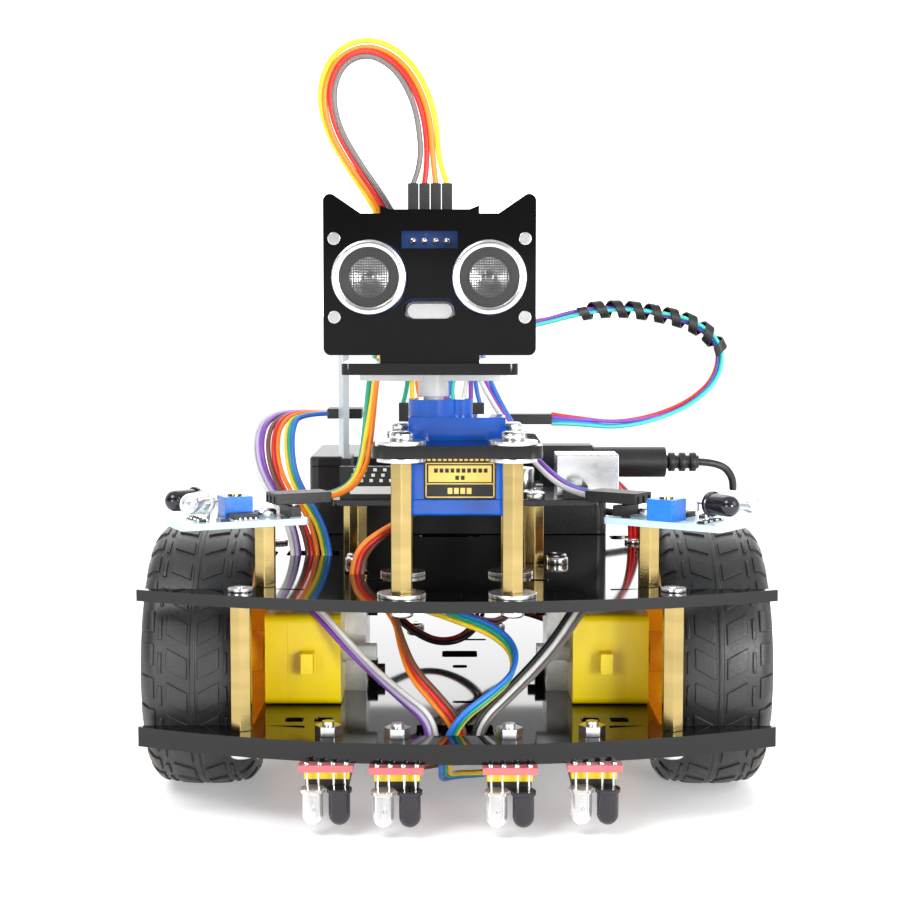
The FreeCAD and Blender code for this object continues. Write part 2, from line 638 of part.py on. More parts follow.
def ultrasonic_board():
    board = block((FACE_X - 22.6, FACE_X + 22.6), US_BOARD_Y, (EYE_Z - 10.2, EYE_Z + 10.8))
    board = board.cut(group(face_holes((US_BOARD_Y[0] - 1, US_BOARD_Y[1] + 1))))
    return joined([board] + oval(*CRYSTAL, (-49.0, US_BOARD_Y[0])))


def transducers():
    """Two open aluminium cans, each with a recessed cone."""
    cans = []
    for dx in (-EYE_GAP / 2, EYE_GAP / 2):
        x = FACE_X + dx
        can = rod(EYE_R, (x, EYE_FRONT, EYE_Z), (x, US_BOARD_Y[0], EYE_Z))
        can = can.cut(rod(EYE_R - 1.0, (x, EYE_FRONT - 1, EYE_Z), (x, EYE_FRONT + 3.0, EYE_Z)))
        lip = rod(EYE_R - 0.2, (x, EYE_FRONT + 2.9, EYE_Z), (x, EYE_FRONT + 3.0, EYE_Z))
        cans.append(joined([can, lip]))
    return group(cans)


def head_screws():
    """Four small screws with spacers that hold the sensor behind the face."""
    pieces = []
    bore = FACE_SCREW + FIT
    for dx in (-FACE_HOLES[0], FACE_HOLES[0]):
        for dz in (-FACE_HOLES[1], FACE_HOLES[1]):
            x, z = FACE_X + dx, EYE_Z + dz
            head = rod(1.4, (x, PANEL_Y[0] - 1.0, z), (x, PANEL_Y[0], z))
            shank = rod(FACE_SCREW, (x, PANEL_Y[0] - 0.1, z), (x, US_BOARD_Y[1] + 2.0, z))
            pieces.append(joined([head, shank]))
            sleeve = rod(1.5, (x, PANEL_Y[1], z), (x, US_BOARD_Y[0], z))
            pieces.append(sleeve.cut(rod(bore, (x, PANEL_Y[1] - 1, z), (x, US_BOARD_Y[0] + 1, z))))
            back = rod(1.6, (x, US_BOARD_Y[1], z), (x, US_BOARD_Y[1] + 1.3, z))
            pieces.append(back.cut(rod(bore, (x, US_BOARD_Y[1] - 1, z), (x, US_BOARD_Y[1] + 2, z))))
    return group(pieces)


HEAD_PLUG_Z = (134.0, 134.0 + PLUG)


def head_plug():
    """Four single-wire housings side by side on the sensor's upturned pins."""
    bodies = []
    for step in range(4):
        x = FACE_X + (step - 1.5) * PITCH
        bodies.append(block((x - 1.2, x + 1.2), (US_BOARD_Y[1], US_BOARD_Y[1] + 2.5), HEAD_PLUG_Z))
    return group(bodies)


# ---------------------------------------------------------------- controller, battery, radio

def controller_board():
    board = block(BOARD_X, BOARD_Y, BOARD_Z)
    board = rounded(board, 1.2, [(x, y) for x in BOARD_X for y in BOARD_Y])
    holes = [post(M3_HOLE, x, y, (60, 80)) for x, y in BOARD_SPACERS]
    return board.cut(group(holes))


def controller_parts():
    """The black moulded parts: socket strips, chip, capacitors' base and the power jack."""
    top = BOARD_Z[1]
    pieces = []
    strips = [(-30.2, 17.2, FRONT_STRIP), (-17.0, 9.0, REAR_STRIP)]
    for start, end, y in strips:
        strip = block((start, end), (y - 1.27, y + 1.27), (top, SOCKET_TOP))
        count = int((end - start) / PITCH)
        for step in range(count):
            x = start + PITCH * (step + 0.6)
            pin_hole = block((x - 0.4, x + 0.4), (y - 0.4, y + 0.4), (SOCKET_TOP - 6, SOCKET_TOP + 1))
            strip = strip.cut(pin_hole)
        pieces.append(strip)
    pieces.append(block((-14, 21), (46.5, 54.0), (top, top + 3.4)))
    pieces.append(block((-31.3, -28.8), (34.0, 50.0), (top, SOCKET_TOP)))
    terminal = block((31.5, 36.5), (38.0, 46.0), (top, top + 5.2))
    pieces.append(terminal.cut(group([post(1.1, 34.0, y, (top + 4.2, top + 6)) for y in (40.0, 44.0)])))
    jack = block((24.0, 38.3), (50.3, 59.3), (top, top + 10.9))
    pieces.append(jack.cut(rod(3.2, (27, 54.8, top + 5.9), (39, 54.8, top + 5.9))))
    return group(pieces)


def usb_socket():
    can = block((26.4, 42.7), (18.3, 30.3), (BOARD_Z[1], BOARD_Z[1] + 10.9))
    mouth = block((34.0, 43.0), (20.1, 28.5), (BOARD_Z[1] + 1.7, BOARD_Z[1] + 9.3))
    tongue = block((33.5, 41.5), (21.6, 27.0), (BOARD_Z[1] + 3.9, BOARD_Z[1] + 7.1))
    return joined([can.cut(mouth), tongue])


BUTTON_AT = (31.0, 14.0)
BUTTON_Z = BOARD_Z[1] + 3.5


def reset_button():
    """The plunger of the reset switch: it sinks a quarter of a millimetre."""
    return post(1.7, *BUTTON_AT, (BUTTON_Z - 1.5, BUTTON_Z + 1.5))


def button_body():
    x, y = BUTTON_AT
    body = block((x - 3, x + 3), (y - 3, y + 3), (BOARD_Z[1], BUTTON_Z))
    return body.cut(post(1.75, x, y, (BUTTON_Z - 2.0, BUTTON_Z + 1)))


def battery_box():
    """Tray with two bays; its right-hand wall has the window for the switch."""
    body = block(BOX_X, BOX_Y, (BOX_Z[0], BOX_Z[1] - LID))
    body = rounded(body, 3.0, [(x, y) for x in BOX_X for y in BOX_Y])
    room = block((BOX_X[0] + 1.8, BOX_X[1] - 8.0), (BOX_Y[0] + 1.8, BOX_Y[1] - 1.8), (BOX_Z[0] + 1.2, 90))
    switch_room = block((BOX_X[1] - 6.5, BOX_X[1] - 1.8), (93.0, 112.0), (BOX_Z[0] + 4, 90))
    window = block((BOX_X[1] - 3, BOX_X[1] + 1), (98.0, 107.0), (62.0, 66.5))
    return body.cut(group([room, switch_room, window]))


def battery_lid():
    lid = block(BOX_X, BOX_Y, (BOX_Z[1] - LID, BOX_Z[1]))
    lid = rounded(lid, 3.0, [(x, y) for x in BOX_X for y in BOX_Y])
    upper = [e for e in lid.Edges if abs(e.CenterOfMass.z - BOX_Z[1]) < 0.01]
    return lid.makeFillet(1.0, upper)


def battery_cells():
    cells = []
    for y in (81.2, 101.8):
        z = BOX_Z[0] + 1.3 + 9.2
        body = rod(9.15, (-38.0, y, z), (30.5, y, z))
        tip = rod(3.2, (30.4, y, z), (31.6, y, z))
        cells.append(joined([body, tip]))
    return group(cells)


def power_switch():
    """The slider, shown at the front end of its four millimetres of travel."""
    slider = block((BOX_X[1] - 4.5, BOX_X[1] + 1.8), (98.4, 102.2), (62.4, 66.1))
    return slider


def wireless_module():
    """A small white board standing on edge in its socket, turned a little to the right."""
    board = block((-0.8, 0.8), (0.0, 12.0), (SOCKET_TOP, 108.0))
    holes = []
    for step in range(9):
        z = SOCKET_TOP + 4.0 + 2.6 * step
        holes.append(rod(0.45, (-2, 1.6, z), (2, 1.6, z)))
    body = board.cut(group(holes))
    body.rotate(vec(0, 0, 0), vec(0, 0, 1), 10.0)
    body.translate(vec(-30.0, 36.0, 0))
    return body


# ---------------------------------------------------------------- sensors

def sensor_angle(side):
    """The direction, in degrees from +X, in which a corner sensor points."""
    return -SENSOR_TURN[1] if side > 0 else 180.0 + SENSOR_TURN[-1]


def place_sensor(shape, side):
    """Turn a sensor piece, drawn along +X about its mounting hole, into place on one corner."""
    turned = shape.copy()
    turned.rotate(vec(0, 0, 0), vec(0, 0, 1), sensor_angle(side))
    turned.translate(vec(side * SENSOR_AT[0], SENSOR_AT[1], 0))
    return turned


def obstacle_board():
    """Board with its three-pin header and comparator chip."""
    top = BOARD_Z[1]
    half = SENSOR_WIDE / 2
    board = block(SENSOR_LONG, (-half, half), BOARD_Z)
    board = rounded(board, 1.0, [(x, y) for x in SENSOR_LONG for y in (-half, half)])
    board = board.cut(post(M3_HOLE, 0, 0, (60, 80)))
    header = block((-7.6, -5.1), (-3.8, 3.8), (top, top + 2.5))
    chip = block((3.4, 9.4), (1.4, 5.6), (top, top + 1.4))
    pins = []
    for step in (-1, 0, 1):
        y = step * PITCH
        pins.append(block((-6.6, -6.0), (y - 0.3, y + 0.3), (top + 2.4, top + 4.6)))
        pins.append(block((-6.6, -2.6), (y - 0.3, y + 0.3), (top + 4.0, top + 4.6)))
    return joined([board, header, chip] + pins)


def trimmer():
    top = BOARD_Z[1]
    body = block((3.0, 9.8), (-6.6, 0.2), (top, top + 5.0))
    return body.cut(post(1.65, 6.4, -3.2, (top + 3.2, top + 6)))


def trimmer_screw():
    """The slotted brass rotor that sets the sensor's range."""
    top = BOARD_Z[1]
    rotor = post(1.6, 6.4, -3.2, (top + 3.6, top + 5.5))
    return rotor.cut(block((4.6, 8.2), (-3.45, -2.95), (top + 5.0, top + 6)))


def led(tip_down=True):
    """A five-millimetre LED drawn with its flange at z = 0 and its dome towards -Z."""
    body = post(LED_R, 0, 0, (-(LED_LONG - LED_R), 0))
    dome = Part.makeSphere(LED_R, vec(0, 0, -(LED_LONG - LED_R)))
    flange = post(LED_R + 0.4, 0, 0, (-1.0, 0))
    return joined([body, dome, flange])


def obstacle_leds():
    """Two LEDs lie side by side at each sensor's outer end, on bent legs."""
    pieces = []
    for side in (-1, 1):
        for offset, swing in zip((-3.4, 3.4), LED_SWING[side]):
            bulb = led()
            legs = [rod(0.3, (dx, 0, -0.1), (dx, 0, 3.2)) for dx in (-1.27, 1.27)]
            legs += [rod(0.3, (dx, 0, 3.0), (dx, LED_RISE - 0.02, 3.0)) for dx in (-1.27, 1.27)]
            one = joined([bulb] + legs)
            one.rotate(vec(0, 0, 0), vec(0, 1, 0), -90)
            one.rotate(vec(0, 0, 0), vec(1, 0, 0), -90)
            one.rotate(vec(0, 0, 0), vec(0, 0, 1), swing)
            one.translate(vec(LED_START[side], offset, BOARD_Z[1] + LED_RISE))
            pieces.append(place_sensor(one, side))
    return pieces


def line_leds():
    pieces = []
    for x in LINE_X:
        y = line_front(x) + 1.7
        for dx in (-3.0, 3.0):
            bulb = led()
            legs = [rod(0.3, (s * 1.27, 0, -0.1), (s * 1.27, 0, LEG)) for s in (-1, 1)]
            one = joined([bulb] + legs)
            one.translate(vec(x + dx, y, BOTTOM[0] - LINE_BOARD[2] - LEG))
            pieces.append(one)
    return pieces


def sensor_leds():
    return group(obstacle_leds() + line_leds())


def line_boards():
    """Four narrow boards flat under the front of the bottom plate, each with a header."""
    wide, deep, thick = LINE_BOARD
    under = BOTTOM[0] - thick
    pieces = []
    for x in LINE_X:
        front = line_front(x)
        board = block((x - wide / 2, x + wide / 2), (front, front + deep), (under, BOTTOM[0]))
        header = block((x - 5.1, x + 5.1), (front + 3.9, front + 6.4), (under - 2.5, under))
        board = joined([board, header])
        pieces.append(board.cut(post(M3_HOLE, x, front + 9.7, (10, 20))))
    return group(pieces)


LINE_PLUG = (4.9, 18.9)   # from the sensor's front end
LINE_PLUG_Z = (10.1, 12.65)


def cable_plugs():
    """Every black wire housing on the chassis."""
    pieces = []
    for x in LINE_X:
        front = line_front(x)
        span = (front + LINE_PLUG[0], front + LINE_PLUG[1])
        pieces.append(block((x - 5.0, x + 5.0), span, LINE_PLUG_Z))
    for side in (-1, 1):
        housing = block((-15.5, -1.5), (-3.8, 3.8), (BOARD_Z[1] + 3.0, BOARD_Z[1] + 5.6))
        for step in (-1, 0, 1):
            y = step * PITCH
            housing = housing.cut(block((-7.0, -1.0), (y - 0.4, y + 0.4), (BOARD_Z[1] + 2.0, BOARD_Z[1] + 4.8)))
        pieces.append(place_sensor(housing, side))
    stand = (SOCKET_TOP, SOCKET_TOP + PLUG)
    for x in (-12.6, -4.2, 4.2):
        pieces.append(block((x - 3.8, x + 3.8), (REAR_STRIP - 1.27, REAR_STRIP + 1.27), stand))
    pieces.append(block((-7.2, 0.4), (FRONT_STRIP - 1.27, FRONT_STRIP + 1.27), stand))
    pieces.append(block((8.6, 16.2), (FRONT_STRIP - 1.27, FRONT_STRIP + 1.27), (SOCKET_TOP, 90.3)))
    pieces.append(block((10.5, 24.5), (FRONT_STRIP - 1.9, FRONT_STRIP + 1.9), (90.3, 92.9)))
    pieces.append(block((-36.2, -26.5), (49.4, 59.0), (89.3, 92.1)))
    return group(pieces)


# ---------------------------------------------------------------- wires

def tube(points, diameter, name):
    """Straight runs joined by tangent arcs, each arc as large as its two runs allow."""
    spots = [vec(*p) for p in points]
    edges = []
    start = spots[0]
    radii = []
    for before, corner, after in zip(spots, spots[1:], spots[2:]):
        into = (corner - before).normalize()
        out = (after - corner).normalize()
        turn = into.getAngle(out)
        run = min((corner - before).Length, (after - corner).Length)
        radius = 0.45 * run / math.tan(turn / 2)
        reach = 0.45 * run
        first = corner - into * reach
        last = corner + out * reach
        inward = (out - into).normalize()
        centre = corner + inward * (radius / math.cos(turn / 2))
        middle = centre - inward * radius
        edges.append(Part.makeLine(start, first))
        edges.append(Part.Arc(first, middle, last).toShape())
        start = last
        radii.append(radius)
    edges.append(Part.makeLine(start, spots[-1]))
    path = Part.Wire(edges)
    heading = spots[1] - spots[0]
    ring_edge = Part.makeCircle(diameter / 2, spots[0], heading)
    solid = path.makePipeShell([Part.Wire([ring_edge])], True, False)
    expected = math.pi * diameter ** 2 / 4 * path.Length
    print(f"{name}: length {path.Length:.1f}, tightest radius {min(radii):.1f}"
          f" = {min(radii) / diameter:.1f} diameters, volume ratio {solid.Volume / expected:.4f}")
    return solid



def plug_end(side):
    """Where the wires leave the housing on one corner sensor."""
    turn = math.radians(sensor_angle(side))
    return (side * SENSOR_AT[0] - 15.5 * math.cos(turn), SENSOR_AT[1] - 15.5 * math.sin(turn), BOARD_Z[1] + 4.3)


def line_end(index):
    """Where the wires leave the housing of one line sensor."""
    return (LINE_X[index], line_front(LINE_X[index]) + LINE_PLUG[1], 11.4)


ROUTES = {
    "head_cable": (HEAD_WIRE, [
        (-6.1, -41.75, 148), (-6.1, -41.5, 157.5), (-7.8, -41, 167), (-12.4, -40, 175), (-19.6, -38, 179.2),
        (-26.8, -36.5, 177), (-30.2, -35.5, 169.5), (-28.6, -35, 160.5), (-23.4, -34, 152), (-17.6, -31.5, 144),
        (-13.8, -25.5, 136), (-11.4, -16, 129), (-10, -3.5, 124), (-9.2, 10, 121.6), (-8.6, 24, 119),
        (-7.2, 37, 115.6), (-5.4, 48, 111.6), (-4.4, 57, 107.4), (-4.2, 59.7, 100.6), (-4.2, 59.8, 93.6),
    ]),
    "loop_cable": (HEAD_WIRE, [
        (24.5, 11.5, 91.6), (32, 12, 91), (41.5, 15, 89.9), (52, 19, 91.2), (62, 22.5, 94.8),
        (69.3, 25, 101.3), (70.4, 26, 110.2), (63.2, 26.3, 116.4), (53, 26, 118.9), (43, 25.4, 120.2),
        (32.5, 24.3, 119.3), (22, 22.3, 116.4), (12, 20.3, 114.6), (3.6, 18.2, 111), (-2, 14, 104.2),
        (-3.4, 11.5, 93.3),
    ]),
    "obstacle_cable_left": (RIBBON, [
        plug_end(-1), (-26.6, -18.6, 75.9), (-23.2, -14.2, 81.2), (-22.1, -8.6, 89.2),
        (-21.3, -2.6, 97.3), (-20.6, 4.6, 104.6), (-19.6, 13.5, 109.6), (-18, 24, 111.8),
        (-15.8, 35, 110.8), (-13.8, 45.5, 109), (-12.8, 54.6, 107.4), (-12.6, 59.4, 101.6),
        (-12.6, 59.8, 93.3),
    ]),
    "obstacle_cable_right": (RIBBON, [
        plug_end(1), (28.2, -14.8, 75.8), (23.6, -10.8, 78.8), (19, -6, 83.2),
        (14.6, -1, 89), (10.4, 4, 95.4), (7.2, 9.8, 101.4), (6, 17.4, 106.2), (5.4, 26.8, 109.2),
        (4.9, 37, 109.4), (4.4, 46.5, 108), (4.2, 55, 107), (4.2, 59.4, 101.4),
        (4.2, 59.8, 93.3),
    ]),
    "line_cable_1": (RIBBON, [
        line_end(0), (-29.8, -23.5, 11.4), (-24, -17.4, 11.4), (-15, -16.5, 11.4), (-8.5, -21, 12),
        (-6, -28, 12.2), (-5.8, -33.6, 16.6), (-6.6, -33.8, 23.4), (-12.6, -28.4, 27.2), (-20.4, -21.5, 32.6),
        (-27.5, -17.8, 39), (-34, -13.4, 45.4), (-39.6, -4.8, 48.2), (-42.4, 5, 48.2), (-42.8, 15, 47.9),
        (-42.9, 24, 48.6), (-43, 29.6, 54), (-45, 30.6, 62.5), (-49.5, 31.6, 69.5), (-53.5, 34, 76.5),
        (-55, 38.5, 83.5), (-54.2, 45.5, 88.5), (-50.5, 53, 90.6), (-43.8, 57.1, 90.8), (-36.2, 57.2, 90.7),
    ]),
    "line_cable_2": (RIBBON, [
        line_end(1), (-13.5, -26.4, 10.4), (-8.6, -21.4, 9), (-2, -21.8, 10.4), (1.6, -27.8, 11.8),
        (1.5, -34.2, 16.6), (0, -35.8, 23), (-5, -33.8, 28.6), (-10.4, -30.4, 33.8), (-13.2, -26, 39.8),
        (-15, -20, 45.4), (-19.6, -12.6, 48.6), (-26, -5.6, 48.9), (-33, 1, 48.6), (-37.6, 8.6, 48.1),
        (-38.4, 17, 48.1), (-38.6, 24.4, 48.8), (-38.8, 29.6, 54), (-40.8, 30.5, 62.2), (-45.2, 31.3, 69),
        (-49, 33.6, 75.8), (-50.4, 38, 82.6), (-50, 44.5, 87.6), (-47.4, 50.4, 90.2), (-42.4, 54.1, 90.8),
        (-36.2, 54.2, 90.7),
    ]),
    "line_cable_3": (RIBBON, [
        line_end(2), (12, -26.2, 9.8), (7, -19.4, 7), (0, -18.4, 6.4), (-2.8, -25, 7.4),
        (-2.6, -31.4, 11.4), (-2.5, -37.4, 17), (0.8, -40.6, 25), (7.6, -38.6, 30), (13, -33.6, 34),
        (13.6, -27.6, 39), (8.4, -22.8, 43), (1, -18.4, 45), (-6, -13.5, 46.6), (-14, -8.5, 47.6),
        (-22, -4, 48.4), (-29, 1.5, 48.6), (-33.2, 9, 48.2), (-34, 17.4, 48.1), (-34.2, 24.4, 48.8),
        (-34.5, 29.6, 54), (-36.5, 30.4, 62), (-40.8, 31, 68.4), (-44.6, 33.2, 75), (-46, 37.4, 81.6),
        (-46.2, 43, 87), (-44.6, 48.6, 90.4), (-36.2, 51.2, 90.7),
    ]),
    "line_cable_4": (RIBBON, [
        line_end(3), (31.2, -23.5, 11.4), (25.5, -17.4, 11.4), (16.5, -16.4, 11.4), (9.4, -21, 11.6),
        (4.9, -28, 12), (4.3, -33.6, 16.6), (5.8, -33.6, 23.2), (12, -28.8, 28), (19, -24, 34),
        (24.6, -19.6, 39.6), (29, -14, 45), (33, -5.4, 48.2), (36.6, 5, 48.3), (38.8, 17, 47.8),
        (41, 30, 47.2), (43.8, 42.4, 46.8), (46.6, 52.6, 46.7), (48, 60.4, 48.4), (48.2, 62, 54.4),
    ]),
    "supply_cable": (RIBBON, [
        (51.6, 62, 53), (51.4, 61, 60), (49.4, 56.6, 66), (46.2, 50.4, 70), (42.6, 44.6, 72.6), (36.5, 42, 73.4),
    ]),
    "servo_cable": (RIBBON, [
        (-8.4, SERVO_Y[1], 73.6), (-8.2, -11.6, 73.2), (-8.3, -5.4, 70.6), (-12.6, -2, 67),
        (-18, -2.4, 64), (-22.8, -4.2, 60.6), (-25, -6.6, 56.4), (-25, -7, 51),
    ]),
    "motor_lead_left": (MOTOR_WIRE, [
        (-38.2, 53.5, 40), (-37.8, 61, 40.2), (-32.4, 67, 39), (-24.8, 68.2, 35.6), (-17.8, 64.4, 31),
        (-11.8, 57.6, 27.4), (-5, 50.6, 25.6), (2.2, 47, 27.6), (6.8, 50.4, 32.6), (7.2, 57, 38),
        (3.4, 62.4, 43), (-2.4, 64.6, 47.4), (-3.6, 65, 53),
    ]),
    "motor_lead_right": (MOTOR_WIRE, [
        (38.2, 53.5, 26), (37.4, 61.4, 26), (31.8, 67.6, 27), (24, 68.4, 30.2), (17, 64.2, 33),
        (13.4, 56.6, 31.6), (9.6, 48, 31.4), (3, 41.8, 34.4), (-4.8, 41.6, 37.8), (-9.2, 47.6, 41.4),
        (-6.6, 55, 44.4), (-2, 61.2, 46.4), (3.6, 64.8, 48.6), (4.6, 65, 54),
    ]),
    "power_lead": (LEAD, [
        (68.8, 54.8, 76.7), (75, 54.9, 76.6), (79.2, 56.5, 72.4), (79.4, 59.5, 66.2), (75.6, 63, 61.6),
        (69.5, 66.5, 58.8), (62, 70, 58), (53.5, 72.2, 59), (44.1, 72.6, 60.5),
    ]),
}


def power_plug():
    """Barrel plug with a ribbed grip and a three-ring strain relief."""
    y, z = 54.8, BOARD_Z[1] + 5.9
    pieces = [rod(2.7, (31.0, y, z), (39.0, y, z)), rod(4.3, (38.6, y, z), (59.3, y, z))]
    pieces.append(rod(1.9, (59.0, y, z), (68.8, y, z)))
    pieces += [rod(2.7, (x, y, z), (x + 1.8, y, z)) for x in (60.2, 63.2, 66.2)]
    return joined(pieces).cut(rod(1.25, (30, y, z), (38, y, z)))


def main():
    os.makedirs(OUT, exist_ok=True)
    save("bottom_plate", bottom_plate())
    save("top_plate", top_plate())
    save("long_spacers", long_spacers())
    save("short_spacers", short_spacers())
    save("chassis_screws", chassis_screws())
    for name, maker in (("gear_case", gear_case), ("output_gear", output_gear), ("hub", hub),
                        ("tyre", tyre)):
        save(name + "_right", maker())
        save(name + "_left", mirrored(maker()))
    for name, maker in (("motors", motor), ("gear_covers", gear_cover), ("motor_straps", motor_strap),
                        ("motor_brackets", motor_bracket)):
        save(name, group([maker(), mirrored(maker())]))
    screws = motor_screws_one()
    save("motor_screws", group(screws + [mirrored(s) for s in screws]))
    save("caster_housing", caster_housing())
    save("caster_ball", caster_ball())
    save("servo_plate", servo_plate())
    save("servo_case", servo_case())
    save("servo_covers", group([servo_top_cover(), servo_bottom_cover()]))
    save("servo_horn", servo_horn())
    save("head_base", head_base())
    save("face_panel", face_panel())
    save("ultrasonic_board", ultrasonic_board())
    save("transducers", transducers())
    save("head_screws", head_screws())
    save("head_plug", head_plug())
    save("controller_board", controller_board())
    save("controller_parts", group([controller_parts(), button_body()]))
    save("usb_socket", usb_socket())
    save("reset_button", reset_button())
    save("battery_box", battery_box())
    save("battery_lid", battery_lid())
    save("battery_cells", battery_cells())
    save("power_switch", power_switch())
    save("wireless_module", wireless_module())
    save("obstacle_boards", group([place_sensor(obstacle_board(), s) for s in (-1, 1)]))
    save("trimmers", group([place_sensor(trimmer(), s) for s in (-1, 1)]))
    save("trimmer_screw_left", place_sensor(trimmer_screw(), -1))
    save("trimmer_screw_right", place_sensor(trimmer_screw(), 1))
    save("sensor_leds", sensor_leds())
    save("line_boards", line_boards())
    save("cable_plugs", cable_plugs())
    save("power_plug", power_plug())
    for name, (diameter, points) in ROUTES.items():
        save(name, tube(points, diameter, name))


main()
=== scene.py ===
import math
import random

import bmesh
import bpy
from mathutils import Matrix, Vector


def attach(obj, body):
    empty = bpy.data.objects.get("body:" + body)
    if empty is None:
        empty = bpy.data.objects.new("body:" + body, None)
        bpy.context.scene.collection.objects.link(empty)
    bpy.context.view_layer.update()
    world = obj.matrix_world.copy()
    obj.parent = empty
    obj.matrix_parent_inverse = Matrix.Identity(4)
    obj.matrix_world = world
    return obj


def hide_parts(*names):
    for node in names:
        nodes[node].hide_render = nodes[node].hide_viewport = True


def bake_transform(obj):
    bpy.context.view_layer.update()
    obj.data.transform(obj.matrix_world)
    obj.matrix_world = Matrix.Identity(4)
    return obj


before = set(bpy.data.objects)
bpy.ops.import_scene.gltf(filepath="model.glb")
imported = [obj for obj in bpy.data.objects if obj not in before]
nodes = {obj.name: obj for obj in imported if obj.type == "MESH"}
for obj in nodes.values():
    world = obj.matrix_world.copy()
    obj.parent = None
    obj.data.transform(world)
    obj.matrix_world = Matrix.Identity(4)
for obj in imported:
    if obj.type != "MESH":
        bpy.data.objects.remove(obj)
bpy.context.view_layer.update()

MM = 0.001
PITCH = 2.54            # pin headers and sockets, mm
AXLE_Y = -29.0          # the axle in the row frame, mm
BOARD = 70.8            # top of the controller and of the corner sensors' boards
random.seed(7)


def at(x, y, z):
    """A point given in millimetres from the floor under the axle, in the row frame."""
    return Vector((x, y + AXLE_Y, z)) * MM


# ------------------------------------------------------------------ materials

def material(name, color, rough=0.4, metal=0.0, vary=0.15, grain=900.0, bump=0.1, stretch=(1, 1, 1), **fixed):
    """Colour that drifts a little, uneven roughness and a fine relief, all from object coordinates."""
    mat = bpy.data.materials.new(name)
    mat.use_nodes = True
    tree = mat.node_tree
    shader = tree.nodes["Principled BSDF"]
    coords = tree.nodes.new("ShaderNodeTexCoord")
    mapping = tree.nodes.new("ShaderNodeMapping")
    mapping.inputs["Scale"].default_value = stretch
    tree.links.new(coords.outputs["Object"], mapping.inputs["Vector"])
    noises = []
    for scale, detail in ((grain * 0.07, 3.0), (grain, 5.0)):
        noise = tree.nodes.new("ShaderNodeTexNoise")
        noise.inputs["Scale"].default_value = scale
        noise.inputs["Detail"].default_value = detail
        tree.links.new(mapping.outputs["Vector"], noise.inputs["Vector"])
        noises.append(noise)
    ramp = tree.nodes.new("ShaderNodeValToRGB")
    ramp.color_ramp.elements[0].position = 0.3
    ramp.color_ramp.elements[1].position = 0.7
    ramp.color_ramp.elements[0].color = tuple(c * (1 - vary) for c in color) + (1,)
    ramp.color_ramp.elements[1].color = tuple(min(1, c * (1 + vary * 0.6) + vary * 0.01) for c in color) + (1,)
    tree.links.new(noises[0].outputs["Fac"], ramp.inputs["Fac"])
    tree.links.new(ramp.outputs["Color"], shader.inputs["Base Color"])
    spread = tree.nodes.new("ShaderNodeMapRange")
    spread.inputs["To Min"].default_value = max(0.02, rough * 0.75)
    spread.inputs["To Max"].default_value = min(1, rough * 1.3)
    tree.links.new(noises[1].outputs["Fac"], spread.inputs["Value"])
    tree.links.new(spread.outputs["Result"], shader.inputs["Roughness"])
    relief = tree.nodes.new("ShaderNodeBump")
    relief.inputs["Strength"].default_value = bump
    relief.inputs["Distance"].default_value = 0.0002
    tree.links.new(noises[1].outputs["Fac"], relief.inputs["Height"])
    tree.links.new(relief.outputs["Normal"], shader.inputs["Normal"])
    shader.inputs["Metallic"].default_value = metal
    for socket, value in fixed.items():
        shader.inputs[socket.replace("_", " ")].default_value = value
    return mat


